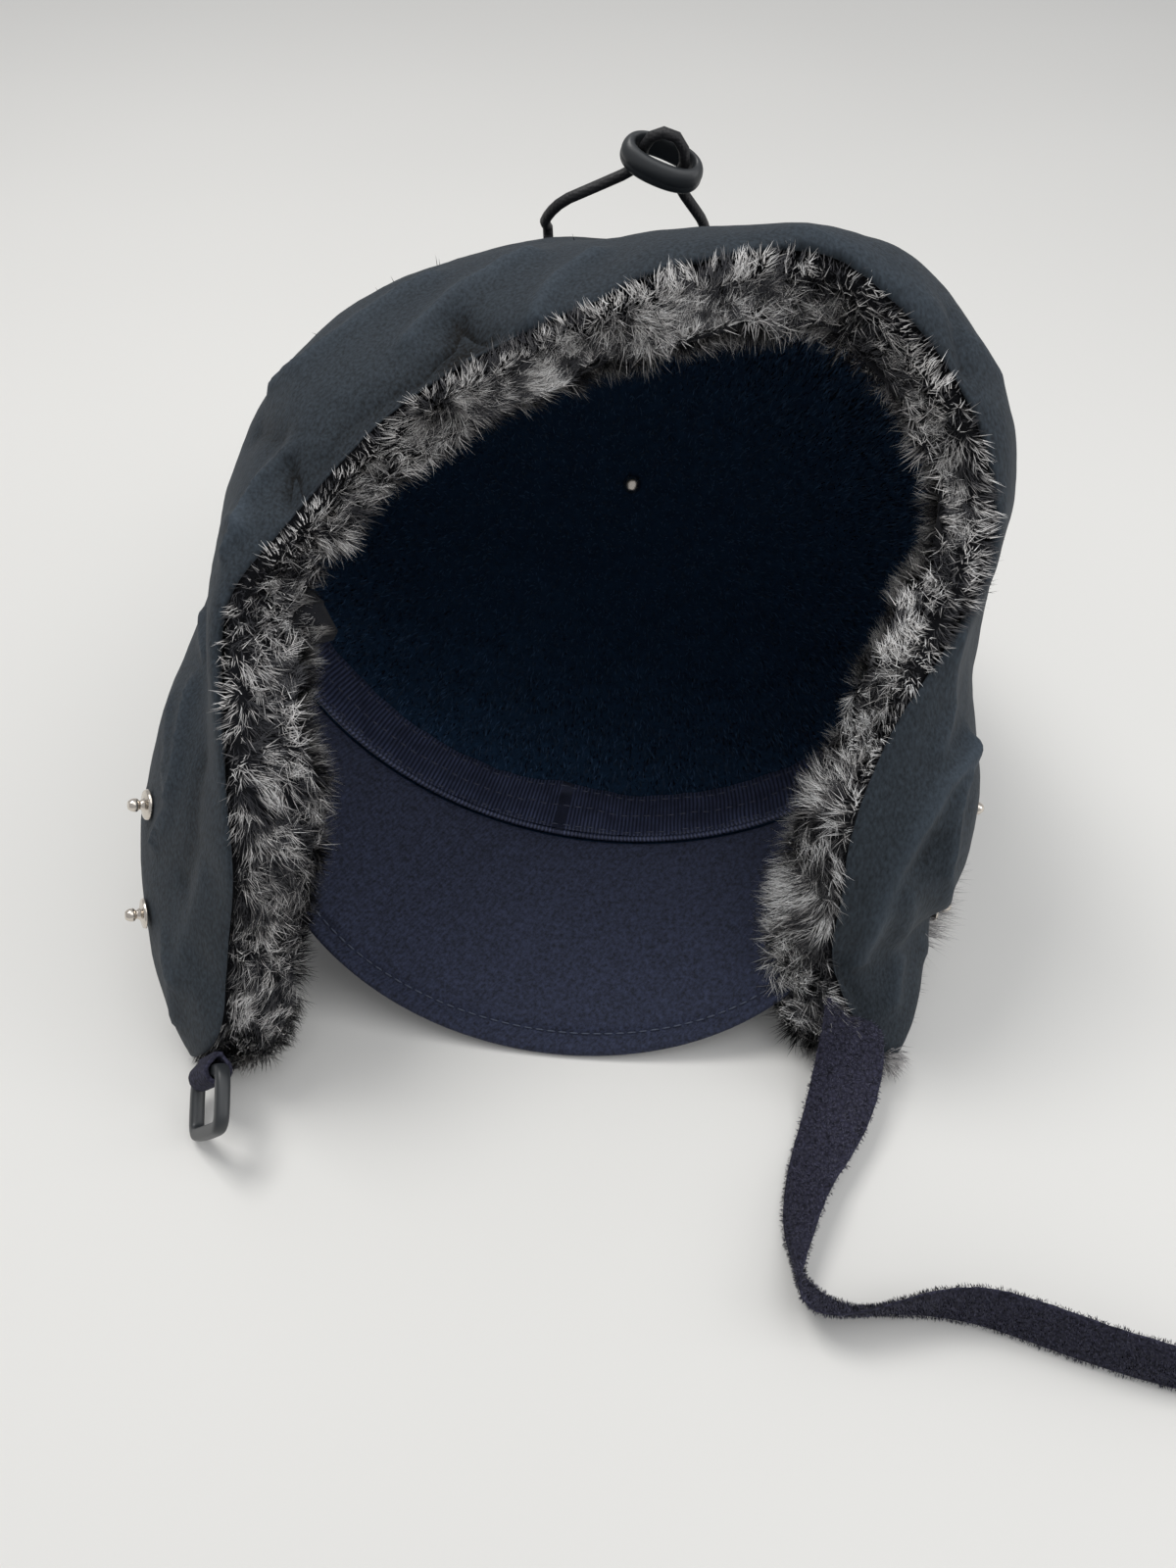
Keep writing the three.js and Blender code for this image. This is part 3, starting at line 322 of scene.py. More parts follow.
def fine_mesh(node, name, rounds, crease=None):
    """A node's shape with its faces paired to four sides and subdivided; edges that turn
    sharper than crease degrees stay crisp."""
    shape = bmesh.new()
    shape.from_mesh(NODES[node].data)
    bmesh.ops.remove_doubles(shape, verts=shape.verts, dist=0.02 * MM)
    bmesh.ops.join_triangles(
        shape,
        faces=shape.faces,
        angle_face_threshold=math.radians(50),
        angle_shape_threshold=math.pi,
    )
    if crease is not None:
        layer = shape.edges.layers.float.new("crease_edge")
        for edge in shape.edges:
            if len(edge.link_faces) == 2 and edge.calc_face_angle() > math.radians(crease):
                edge[layer] = 0.75
    rough = bpy.data.meshes.new(name + "_rough")
    shape.to_mesh(rough)
    shape.free()
    holder = bpy.data.objects.new(name + "_rough", rough)
    bpy.context.scene.collection.objects.link(holder)
    smoother = holder.modifiers.new("smooth", "SUBSURF")
    smoother.levels = rounds
    smoother.render_levels = rounds
    smoother.subdivision_type = "CATMULL_CLARK"
    graph = bpy.context.evaluated_depsgraph_get()
    graph.update()
    mesh = bpy.data.meshes.new_from_object(holder.evaluated_get(graph))
    mesh.name = name
    bpy.data.objects.remove(holder)
    bpy.data.meshes.remove(rough)
    mesh.shade_smooth()
    return mesh


def corners_of(mesh):
    """The point numbers of a mesh's triangles as rows of three."""
    mesh.calc_loop_triangles()
    corners = np.zeros(len(mesh.loop_triangles) * 3, np.int32)
    mesh.loop_triangles.foreach_get("vertices", corners)
    return corners.reshape(-1, 3)


def tree_of(mesh):
    """Search tree of a mesh's surface."""
    return BVHTree.FromPolygons(points_of(mesh).tolist(), corners_of(mesh).tolist())


def distances(points, tree):
    """How far each point is from a surface, in metres."""
    return np.array([tree.find_nearest(p)[3] for p in points.tolist()])


def smoothstep(low, high, values):
    """0 below low and 1 above high, eased between; low may be the higher of the two."""
    share = np.clip((values - low) / (high - low), 0, 1)
    return share * share * (3 - 2 * share)


def fold_heights(points, folds):
    """How far each point rises by the folds near it, in metres."""
    rise = np.zeros(len(points))
    for _, width, height, crest in folds:
        crest = np.array(crest) * MM
        nearest = np.full(len(points), 1.0)
        for start, end in zip(crest[:-1], crest[1:]):
            line = end - start
            share = np.clip((points - start) @ line / (line @ line), 0, 1)
            gap = np.linalg.norm(points - start - share[:, None] * line, axis=1)
            nearest = np.minimum(nearest, gap)
        rise += height * MM * np.exp(-((nearest / (width * MM)) ** FOLD_FALL))
    return rise


def joined_tree(*nodes):
    """Search tree of several solids together."""
    shape = bmesh.new()
    for node in nodes:
        shape.from_mesh(NODES[node].data)
    tree = BVHTree.FromBMesh(shape)
    shape.free()
    return tree


def value_noise(points, size, seed, stretch=(1, 1, 1)):
    """Smooth noise from -1 to 1 at each point, with hills of a size in metres."""
    scaled = points / size * np.array(stretch) + seed
    return np.array([noise.noise(p) for p in scaled.tolist()])


def vector_noise(points, size, seed):
    """Smooth noise as a way at each point, with whirls of a size in metres."""
    # Unseeded, Blender's vector noise differs from run to run
    noise.seed_set(VECTOR_NOISE_SEED)
    return np.array([noise.noise_vector(p) for p in (points / size + seed).tolist()])


def noise_heights(points, size, seed, stretch=(1, 1, 1)):
    """Value noise whose seeds are small whole numbers, set far enough apart."""
    return value_noise(points, size, seed * 17.3, stretch)


def stitch_mesh(name, places, length, width):
    """Short thread lengths: places are rows of (middle, direction, normal)."""
    corners = []
    faces = []
    for middle, along, normal in places:
        side = along.cross(normal).normalized()
        base = len(corners)
        for end, thick in ((-1, 0.35), (-0.6, 1.0), (0.6, 1.0), (1, 0.35)):
            spot = middle + along * (end * length / 2)
            for turn in range(6):
                around = math.radians(60 * turn)
                out = side * math.cos(around) + normal * math.sin(around)
                corners.append(spot + out * (thick * width / 2))
        for ring in range(3):
            for turn in range(6):
                a = base + ring * 6 + turn
                b = base + ring * 6 + (turn + 1) % 6
                faces.append((a, b, b + 6, a + 6))
        faces.append(tuple(base + k for k in range(5, -1, -1)))
        faces.append(tuple(base + 18 + k for k in range(6)))
    mesh = bpy.data.meshes.new(name)
    mesh.from_pydata([tuple(c) for c in corners], [], faces)
    mesh.shade_smooth()
    return mesh


def cast_row(tree, starts, towards, lift):
    """Points of a surface where lines from starts meet it, with the surface's normals."""
    found = []
    for start, way in zip(starts, towards):
        start = CAP_TO_SCENE @ Vector(start)
        way = (CAP_TO_SCENE.to_3x3() @ Vector(way)).normalized()
        spot, normal, _, _ = tree.ray_cast(start, way)
        if spot is not None:
            if normal.dot(way) > 0:
                normal = -normal
            found.append((spot + normal * lift, normal))
    return found


def stitches_along(found, pitch):
    """Stitch places at even steps along a row of surface points."""
    places = []
    left = pitch / 2
    for (a, normal), (b, _) in zip(found[:-1], found[1:]):
        span = (b - a).length
        if span > 8 * MM or span < 1e-7:
            continue
        along = (b - a) / span
        while left < span:
            places.append((a + along * left, along, normal))
            left += pitch
        left -= span
    return places


def peak_rows(tree, lift):
    """The line of the peak's stitches on its two faces."""
    width = (PEAK_WIDTH / 2 - PEAK_STITCH_INSET) * MM
    corner = PEAK_CORNER * MM
    tip = (RIM_HALF_DEPTH + PEAK_REACH - PEAK_STITCH_INSET) * MM
    turns = [math.radians(-88 + 0.5 * k) for k in range(353)]
    rows = []
    for start, way in ((-200 * MM, 1), (200 * MM, -1)):
        starts = [
            (width * math.sin(t), corner + (tip - corner) * math.cos(t) ** 0.9, start)
            for t in turns
        ]
        rows.append(cast_row(tree, starts, [(0, 0, way)] * len(turns), lift))
    return rows


# Hair


def surface_spots(mesh, count, rng, keep):
    """Spots spread evenly over the kept triangles of a mesh, and their smooth normals."""
    corners = corners_of(mesh)
    points = points_of(mesh)
    normals = normals_of(mesh)
    middle = points[corners].mean(axis=1)
    edges = np.cross(
        points[corners[:, 1]] - points[corners[:, 0]], points[corners[:, 2]] - points[corners[:, 0]]
    )
    area = np.linalg.norm(edges, axis=1) / 2 * keep(middle)
    picked = rng.choice(len(corners), count, p=area / area.sum())
    u = rng.random(count)
    v = rng.random(count)
    over = u + v > 1
    u[over] = 1 - u[over]
    v[over] = 1 - v[over]
    share = np.stack([1 - u - v, u, v], axis=1)[:, :, None]
    spots = (points[corners[picked]] * share).sum(axis=1)
    ways = (normals[corners[picked]] * share).sum(axis=1)
    return spots, ways / np.linalg.norm(ways, axis=1)[:, None]


def unit(vectors):
    """Rows scaled to length 1."""
    return vectors / np.maximum(np.linalg.norm(vectors, axis=1), 1e-9)[:, None]


def hair_mesh(name, roots, middles, tips, normals, width, tones):
    """Hairs as narrow slivers, widest at their middle; tones holds each hair's colours at its
    root, middle and tip."""
    count = len(roots)
    side = unit(np.cross(tips - roots, normals))
    half = (width / 2)[:, None] * side
    points = np.stack([roots, middles - half, middles + half, tips], axis=1).reshape(-1, 3)
    base = (np.arange(count) * 4)[:, None]
    faces = np.concatenate([base + [0, 2, 1], base + [1, 2, 3]], axis=1).reshape(-1, 3)
    mesh = bpy.data.meshes.new(name)
    mesh.vertices.add(len(points))
    mesh.vertices.foreach_set("co", points.astype(np.float32).ravel())
    mesh.loops.add(faces.size)
    mesh.loops.foreach_set("vertex_index", faces.astype(np.int32).ravel())
    mesh.polygons.add(len(faces))
    mesh.polygons.foreach_set("loop_start", np.arange(0, faces.size, 3, dtype=np.int32))
    mesh.update(calc_edges=True)
    colours = np.ones((count, 4, 4), np.float32)
    for column, part in enumerate((0, 1, 1, 2)):
        colours[:, column, :3] = tones[:, part]
    layer = mesh.color_attributes.new("hair_colour", "FLOAT_COLOR", "POINT")
    layer.data.foreach_set("color", colours.ravel())
    mesh.shade_smooth()
    facing = np.repeat(normals, 4, axis=0).astype(np.float32)
    mesh.normals_split_custom_set_from_vertices(facing.tolist())
    return mesh


def crosses(starts, ends, tree):
    """Whether each line from a start to an end runs through a surface."""
    spans = ends - starts
    lengths = np.linalg.norm(spans, axis=1)
    rows = zip(starts.tolist(), (spans / lengths[:, None]).tolist(), lengths.tolist())
    return np.array([tree.ray_cast(start, way, reach)[0] is not None for start, way, reach in rows])


def clump_of(spots, clumps):
    """The number of the clump that each spot is nearest to."""
    tree = KDTree(len(clumps))
    for i, spot in enumerate(clumps.tolist()):
        tree.insert(spot, i)
    tree.balance()
    return np.array([tree.find(p)[1] for p in spots.tolist()])


# Materials


def add_node(tree, kind, settings=None, links=None):
    """A node with its settings, by the names of its attributes and inputs, and its links."""
    node = tree.nodes.new(kind)
    for name, value in (settings or {}).items():
        if not isinstance(name, int) and hasattr(node, name):
            setattr(node, name, value)
        else:
            node.inputs[name].default_value = value
    for name, socket in (links or {}).items():
        tree.links.new(socket, node.inputs[name])
    return node


def new_material(name, colour, roughness, metallic=0.0, ior=1.5, **more):
    """A material with its shader, its tree and coordinates in the cap's metres."""
    material = bpy.data.materials.new(name)
    material.use_nodes = True
    tree = material.node_tree
    shader = tree.nodes["Principled BSDF"]
    shader.inputs["Base Color"].default_value = (*colour, 1)
    shader.inputs["Roughness"].default_value = roughness
    shader.inputs["Metallic"].default_value = metallic
    shader.inputs["IOR"].default_value = ior
    for socket, value in more.items():
        shader.inputs[socket.replace("_", " ")].default_value = value
    place = add_node(tree, "ShaderNodeTexCoord").outputs["Object"]
    return material, tree, shader, place


def pattern(tree, kind, vector, **more):
    """A texture laid out by coordinates, with the settings given."""
    return add_node(tree, "ShaderNodeTex" + kind, more, {"Vector": vector})


def tint(tree, shader, colour, factor, low, high):
    """Shades a colour between two shares of itself by a factor."""
    mix = add_node(
        tree,
        "ShaderNodeMix",
        {
            "data_type": "RGBA",
            "clamp_factor": False,
            6: (*[c * low for c in colour], 1),
            7: (*[min(c * high, 1) for c in colour], 1),
        },
        {0: factor},
    )
    tree.links.new(mix.outputs[2], shader.inputs["Base Color"])


def bump(tree, shader, height, strength, distance, **more):
    """Raises the surface by a pattern, by so many metres."""
    node = add_node(
        tree,
        "ShaderNodeBump",
        {"Strength": strength, "Distance": distance, **more},
        {"Height": height},
    )
    tree.links.new(node.outputs[0], shader.inputs["Normal"])


def softshell():
    """Polyester softshell, woven in fine twill and lightly brushed: a soft, nearly matt
    surface with a faint grain and a soft sheen; its crests carry a painted highlight and its
    hollows painted shade."""
    colour = settings().shell_colour
    material, tree, shader, place = new_material(
        "brushed_polyester_softshell", colour, 0.75, Specular_IOR_Level=0.2, Sheen_Weight=0.03
    )
    # The real twill has lines 0.3 mm apart; these are drawn 0.8 mm apart so that they show
    slant = add_node(
        tree,
        "ShaderNodeMapping",
        {"Rotation": (0.5, 0.7, 0.9), "Scale": (1300, 1300, 380)},
        {"Vector": place},
    )
    grain = pattern(tree, "Noise", slant.outputs[0], Scale=1.0, Detail=2.0)
    spread = add_node(
        tree,
        "ShaderNodeMapRange",
        {"From Min": 0.25, "From Max": 0.75},
        {"Value": grain.outputs[0]},
    )
    # The face is painted paler on the crests of folds as a painted highlight and darker in their
    # hollows as painted shade, added to the grain
    folds = add_node(tree, "ShaderNodeAttribute", {"attribute_name": "fold_painted_light"})
    grain_and_fold_light = add_node(
        tree,
        "ShaderNodeMath",
        {"operation": "MULTIPLY_ADD", 1: 0.6},
        {0: folds.outputs["Fac"], 2: spread.outputs[0]},
    )
    tint(tree, shader, colour, grain_and_fold_light.outputs[0], 0.5, 1.5)
    crumple = pattern(tree, "Noise", place, Scale=120.0, Detail=4.0)
    soft = add_node(
        tree,
        "ShaderNodeBump",
        {"Strength": 0.25, "Distance": 0.0008},
        {"Height": crumple.outputs[0]},
    )
    fine = add_node(
        tree,
        "ShaderNodeBump",
        {"Strength": 0.6, "Distance": 0.0003},
        {"Height": grain.outputs[0], "Normal": soft.outputs[0]},
    )
    tree.links.new(fine.outputs[0], shader.inputs["Normal"])
    return material


def short_pile():
    """Polyester velour with a short pile: very dark, with a soft broken surface."""
    colour = settings().lining_colour
    material, tree, shader, place = new_material(
        "short_pile_velour", colour, 0.95, Specular_IOR_Level=0.1
    )
    tufts = pattern(tree, "Noise", place, Scale=260.0, Detail=4.0, Roughness=0.65)
    tint(tree, shader, colour, tufts.outputs[0], 0.45, 1.7)
    bump(tree, shader, tufts.outputs[0], 0.8, 0.0016)
    return material


def hair_fibre(name, roughness):
    """Modacrylic fibre, dyed dark at the root and frosted at the tip; the colour of each hair
    is stored along it."""
    material, tree, shader, _ = new_material(name, (0.2, 0.2, 0.2), roughness)
    tone = add_node(tree, "ShaderNodeVertexColor", {"layer_name": "hair_colour"})
    tree.links.new(tone.outputs["Color"], shader.inputs["Base Color"])
    return material


def undercoat():
    """The dense root of the long pile: its dyed root colour, darkened further as painted shade
    between the hairs.
    """
    colour = settings().pile_root_colour
    material, tree, shader, place = new_material("pile_backing", colour, 1.0)
    tufts = pattern(tree, "Noise", place, Scale=300.0, Detail=3.0)
    # Painted shade: the backing is darkened below the root colour, more in some patches
    tint(tree, shader, colour, tufts.outputs[0], 0.1, 0.7)
    return material


def mark_weave(mesh):
    """Stores on each point how far round the head opening and how high in the crown it lies."""
    own = points_of(mesh) @ np.array(CAP_TO_SCENE.inverted().to_3x3()).T
    own += np.array(CAP_TO_SCENE.inverted().to_translation())
    round_rim = np.arctan2(own[:, 0], -own[:, 1]) * RIM_RADIUS
    layer = mesh.attributes.new("weave_place", "FLOAT_VECTOR", "POINT")
    rows = np.stack([round_rim, own[:, 2], 0 * round_rim], axis=1)
    layer.data.foreach_set("vector", rows.astype(np.float32).ravel())


def grosgrain(name, colour):
    """Grosgrain ribbon, woven in fine cross ribs: a low, silky gloss that breaks on the ribs."""
    material, tree, shader, place = new_material(name, colour, 0.48)
    weave = add_node(tree, "ShaderNodeAttribute", {"attribute_name": "weave_place"})
    # Real ribs are 0.5 mm apart; these are drawn at 1.3 mm so that they show
    ribs = pattern(
        tree,
        "Wave",
        weave.outputs["Vector"],
        wave_type="BANDS",
        bands_direction="X",
        Scale=240.0,
        Distortion=0.6,
        Detail=1.0,
    )
    slubs = pattern(tree, "Noise", place, Scale=150.0, Detail=3.0)
    tone = add_node(
        tree, "ShaderNodeMath", {"operation": "MULTIPLY"}, {0: ribs.outputs[0], 1: slubs.outputs[0]}
    )
    tint(tree, shader, colour, tone.outputs[0], 0.35, 2.6)
    bump(tree, shader, ribs.outputs[0], 0.8, 0.0004)
    return material


def twill():
    """Cotton and polyester twill on a stiff board: matt, with fine slanted lines."""
    colour = settings().peak_colour
    material, tree, shader, place = new_material("peak_twill", colour, 0.8, Specular_IOR_Level=0.3)
    # Real lines are 0.4 mm apart; these are drawn at 0.9 mm so that they show
    slant = add_node(tree, "ShaderNodeMapping", {"Rotation": (0.0, 0.0, 0.8)}, {"Vector": place})
    lines = pattern(
        tree,
        "Wave",
        slant.outputs[0],
        wave_type="BANDS",
        bands_direction="X",
        Scale=350.0,
        Distortion=1.5,
        Detail=2.0,
    )
    patches = pattern(tree, "Noise", place, Scale=900.0, Detail=3.0, Roughness=0.7)
    spread = add_node(
        tree,
        "ShaderNodeMapRange",
        {"From Min": 0.3, "From Max": 0.7},
        {"Value": patches.outputs[0]},
    )
    tint(tree, shader, colour, spread.outputs[0], 0.3, 1.7)
    bump(tree, shader, lines.outputs[0], 0.35, 0.0003)
    return material


def plated_steel():
    """Steel studs with a pale champagne plating, polished by tumbling."""
    colour = settings().metal_colour
    material, tree, shader, place = new_material(
        "champagne_plated_steel", colour, 0.2, metallic=1.0
    )
    wear = pattern(tree, "Noise", place, Scale=700.0, Detail=2.0)
    spread = add_node(
        tree, "ShaderNodeMapRange", {"To Min": 0.14, "To Max": 0.34}, {"Value": wear.outputs[0]}
    )
    tree.links.new(spread.outputs[0], shader.inputs["Roughness"])
    return material


def moulded_nylon():
    """Injection moulded nylon with a fine spark-eroded grain: dark grey with a satin gloss."""
    colour = settings().plastic_colour
    material, tree, shader, place = new_material("moulded_nylon", colour, 0.42, ior=1.53)
    grain = pattern(tree, "Noise", place, Scale=2200.0, Detail=2.0)
    bump(tree, shader, grain.outputs[0], 0.2, 0.0001)
    return material


def loop_webbing():
    """Nylon loop webbing: a dense cover of small loops."""
    colour = settings().webbing_colour
    material, tree, shader, place = new_material(
        "nylon_loop_webbing", colour, 0.9, Specular_IOR_Level=0.2
    )
    # Real loops are 0.6 mm across; these are drawn at 1.1 mm so that they show
    loops = pattern(tree, "Voronoi", place, Scale=900.0, Randomness=0.8)
    tint(tree, shader, colour, loops.outputs[0], 2.1, 0.2)
    bump(tree, shader, loops.outputs[0], 0.8, 0.0006, invert=True)
    return material


def braided_cord():
    """Elastic cord in a polyester braid: black, with small slanted strands."""
    colour = hex_linear("#17171A")
    material, tree, shader, place = new_material("braided_elastic", colour, 0.6)
    # Real strands are 0.4 mm across; these are drawn at 0.9 mm so that they show
    strands = pattern(tree, "Voronoi", place, Scale=1100.0, Randomness=0.3)
    tint(tree, shader, colour, strands.outputs[0], 1.5, 0.6)
    bump(tree, shader, strands.outputs[0], 0.6, 0.0003, invert=True)
    return material


def thread(name, code):
    """Polyester sewing thread: smooth, twisted, with a slight gloss."""
    colour = hex_linear(code)
    material, tree, shader, place = new_material(name, colour, 0.5)
    twist = pattern(tree, "Noise", place, Scale=3000.0)
    tint(tree, shader, colour, twist.outputs[0], 0.6, 1.4)
    return material


# Pieces


class CAP_OT_stage(bpy.types.Operator):
    """Floor, lights and camera"""

    bl_idname = "cap.stage"
    bl_label = "Stage"

    def execute(self, context):
        scene = context.scene
        mesh = bpy.data.meshes.new("floor")
        signs = ((-1, -1), (1, -1), (1, 1), (-1, 1))
        corners = [(x * FLOOR_REACH, y * FLOOR_REACH, 0) for x, y in signs]
        mesh.from_pydata(corners, [], [(0, 1, 2, 3)])
        floor = bpy.data.objects.new("floor", mesh)
        scene.collection.objects.link(floor)
        colour = hex_linear("#E4E3E0")
        material, tree, shader, place = new_material("painted_board", colour, 0.7)
        patches = pattern(tree, "Noise", place, Scale=4.0, Detail=1.0)
        tint(tree, shader, colour, patches.outputs[0], 0.97, 1.02)
        mesh.materials.append(material)

        world = bpy.data.worlds.new("room")
        world.use_nodes = True
        sky = world.node_tree.nodes["Background"]
        sky.inputs["Color"].default_value = (0.97, 0.98, 1.0, 1)
        sky.inputs["Strength"].default_value = 0.45
        scene.world = world

        for name, place, size, power, tone in LAMPS:
            data = bpy.data.lights.new(name, "AREA")
            data.size = size
            data.energy = power
            data.color = tone
            lamp = bpy.data.objects.new(name, data)
            lamp.location = place
            aim = Vector(LAMP_AIM) - Vector(place)
            lamp.rotation_euler = aim.to_track_quat("-Z", "Y").to_euler()
            scene.collection.objects.link(lamp)

        data = bpy.data.cameras.new("camera")
        data.lens = CAMERA_LENS
        data.sensor_width = 36
        data.clip_start = 0.01
        camera = bpy.data.objects.new("camera", data)
        camera.location = Vector(CAMERA_PLACE) * MM
        camera.rotation_euler = (math.radians(90 - CAMERA_DOWN), 0, 0)
        scene.collection.objects.link(camera)
        scene.camera = camera
        scene.view_settings.view_transform = "Standard"
        return {"FINISHED"}


class CAP_OT_drawcord(bpy.types.Operator):
    """Elastic drawcord and its lock"""

    bl_idname = "cap.drawcord"
    bl_label = "Drawcord"

    def execute(self, context):
        route = [Vector(p) * MM for p in CORD_ROUTE]
        data = bpy.data.curves.new("elastic_cord", "CURVE")
        data.dimensions = "3D"
        data.bevel_depth = settings().cord_diameter / 2
        data.bevel_resolution = 4
        data.use_fill_caps = True
        line = data.splines.new("POLY")
        line.points.add(len(route) - 1)
        for point, spot in zip(line.points, route):
            point.co = (*spot, 1)
        line.use_smooth = True
        data.materials.append(braided_cord())
        cord = bpy.data.objects.new("elastic_cord", data)
        context.scene.collection.objects.link(cord)
        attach(cord, "root")
        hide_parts("drawcord")
        mesh = fine_mesh("cord_lock", "moulded_lock", 2)
        mesh.materials.append(moulded_nylon())
        lock = new_piece("moulded_lock", mesh, ["cord_lock"])
        return {"FINISHED"}


class CAP_OT_shell(bpy.types.Operator):
    """Softshell cloth of the crown, the flap and the covered button"""

    bl_idname = "cap.shell"
    bl_label = "Shell cloth"

    def execute(self, context):
        cloth = softshell()
        for node, name, backing in (
            ("flap_shell", "flap_cloth", "flap_fur"),
            ("crown_shell", "crown_cloth", "crown_lining"),
        ):
            mesh = fine_mesh(node, name, 3)
            points = points_of(mesh)
            outer = smoothstep(0.7 * MM, 1.6 * MM, distances(points, tree_of(NODES[backing].data)))
            outer *= smoothstep(0.4 * MM, 6 * MM, points[:, 2])
            folds = fold_heights(points, SHELL_FOLDS)
            # The fold heights are also stored as painted light: a painted highlight on crests and
            # painted shade in hollows
            layer = mesh.attributes.new("fold_painted_light", "FLOAT", "POINT")
            tone = np.clip(folds / (2 * MM), -1.3, 1.3)
            tone = (np.sign(tone) * np.abs(tone) ** 1.7).astype(np.float32)
            layer.data.foreach_set("value", tone)
            rise = folds * FOLD_GAIN
            rise += 0.9 * MM * noise_heights(points, 26 * MM, 1, (1.0, 0.55, 1.0))
            rise += 0.45 * MM * noise_heights(points, 11 * MM, 2, (1.0, 0.6, 1.0))
            rise += 0.12 * MM * noise_heights(points, 4 * MM, 3)
            move_points(mesh, points + normals_of(mesh) * (rise * outer)[:, None])
            mesh.materials.append(cloth)
            piece = new_piece(name, mesh, [node])
        mesh = fine_mesh("crown_button", "covered_button", 2)
        mesh.materials.append(cloth)
        new_piece("covered_button", mesh, ["crown_button"])
        return {"FINISHED"}


class CAP_OT_lining(bpy.types.Operator):
    """Short pile lining of the crown"""

    bl_idname = "cap.lining"
    bl_label = "Lining"

    def execute(self, context):
        mesh = fine_mesh("crown_lining", "velour_lining", 2)
        points = points_of(mesh)
        inner = smoothstep(1.5 * MM, 3 * MM, distances(points, tree_of(NODES["crown_shell"].data)))
        inner *= smoothstep(0.3 * MM, 2.5 * MM, distances(points, tree_of(NODES["sweatband"].data)))
        rivet = tree_of(NODES["button_rivet"].data)
        inner *= smoothstep(0.5 * MM, 6 * MM, distances(points, rivet))
        rise = 1.1 * MM * noise_heights(points, 15 * MM, 5)
        rise += 0.5 * MM * noise_heights(points, 6 * MM, 6)
        # The rivet presses a shallow dip into the lining
        dip = 1.3 * MM * (1 - smoothstep(1 * MM, 6 * MM, distances(points, rivet)))
        move_points(mesh, points + normals_of(mesh) * (rise * inner - dip)[:, None])
        mesh.materials.append(short_pile())
        piece = new_piece("velour_lining", mesh, ["crown_lining"])

        rng = np.random.default_rng(11)
        shell = tree_of(NODES["crown_shell"].data)
        band = tree_of(NODES["sweatband"].data)

        def keep(middle):
            clear = (distances(middle, shell) > 2 * MM) & (distances(middle, band) > 1.2 * MM)
            clear &= distances(middle, rivet) > 1.5 * MM
            return clear.astype(float)

        spots, ways = surface_spots(mesh, LINING_HAIRS, rng, keep)
        lean = unit(rng.normal(size=spots.shape)) * 0.7
        tips = spots + unit(ways + lean) * (rng.uniform(1.6, 3.4, len(spots)) * MM)[:, None]
        base = np.array(settings().lining_colour)
        light = rng.uniform(0.5, 2.6, len(spots))[:, None]
        tones = np.stack([base * 0.4 + 0 * light, base * light, base * light * 1.4], axis=1)
        width = np.full(len(spots), 0.4 * MM)
        roots = spots - ways * MM
        hair = hair_mesh("velour_hair", roots, (spots + tips) / 2, tips, ways, width, tones)
        hair.materials.append(hair_fibre("velour_fibre", 0.8))
        new_piece("velour_hair", hair)
        return {"FINISHED"}


class CAP_OT_band(bpy.types.Operator):
    """Gathered sweatband, its stitches and the piping"""

    bl_idname = "cap.band"
    bl_label = "Sweatband"

    def execute(self, context):
        ribbon = grosgrain("grosgrain_ribbon", settings().band_colour)
        mesh = fine_mesh("sweatband", "grosgrain_band", 2)
        points = points_of(mesh)
        lining = tree_of(NODES["crown_lining"].data)
        free = smoothstep(0.5 * MM, 1.5 * MM, distances(points, lining))
        rise = 0.8 * MM * noise_heights(points, 9 * MM, 8, (1.0, 0.5, 0.5))
        rise += 0.7 * MM * noise_heights(points, 4 * MM, 9, (1.0, 0.4, 0.4))
        move_points(mesh, points + normals_of(mesh) * (rise * free)[:, None])
        mark_weave(mesh)
        mesh.materials.append(ribbon)
        band = new_piece("grosgrain_band", mesh, ["sweatband"])

        tree = tree_of(mesh)
        places = []
        for height in BAND_ROWS:
            angles = [math.radians(62 + 0.5 * k) for k in range(473)]
            starts = [(0, 0, height * MM)] * len(angles)
            ways = [(math.sin(a), -math.cos(a), 0) for a in angles]
            row = cast_row(tree, starts, ways, 0.1 * MM)
            places += stitches_along(row, BAND_STITCH_PITCH * MM)
        mesh = stitch_mesh("band_stitches", places, settings().stitch_length, 0.5 * MM)
        mesh.materials.append(thread("band_thread", "#3A3F52"))
        new_piece("band_stitches", mesh)

        mesh = fine_mesh("peak_piping", "twill_piping", 1)
        mark_weave(mesh)
        mesh.materials.append(ribbon)
        new_piece("twill_piping", mesh, ["peak_piping"])
        return {"FINISHED"}


class CAP_OT_peak(bpy.types.Operator):
    """Stiff peak with its row of stitches inside the rim"""

    bl_idname = "cap.peak"
    bl_label = "Peak"

    def execute(self, context):
        mesh = fine_mesh("peak", "stiff_peak", 3)
        tree = tree_of(mesh)
        # The stitches press a groove into the twill
        found = [spot for row in peak_rows(tree, 0) for spot, _ in row]
        line = KDTree(len(found))
        for spot in found:
            line.insert(spot, 0)
        line.balance()
        points = points_of(mesh)
        gaps = np.array([line.find(p)[2] for p in points.tolist()])
        groove = 1.2 * MM * np.exp(-((gaps / (1.6 * MM)) ** 2))
        move_points(mesh, points - normals_of(mesh) * groove[:, None])
        mesh.materials.append(twill())
        new_piece("stiff_peak", mesh, ["peak"])
        tree = tree_of(mesh)
        places = []
        for row in peak_rows(tree, 0.08 * MM):
            places += stitches_along(row, PEAK_STITCH_PITCH * MM)
        mesh = stitch_mesh("peak_stitches", places, settings().stitch_length, 0.55 * MM)
        mesh.materials.append(thread("peak_thread", "#3C4355"))
        new_piece("peak_stitches", mesh)
        return {"FINISHED"}


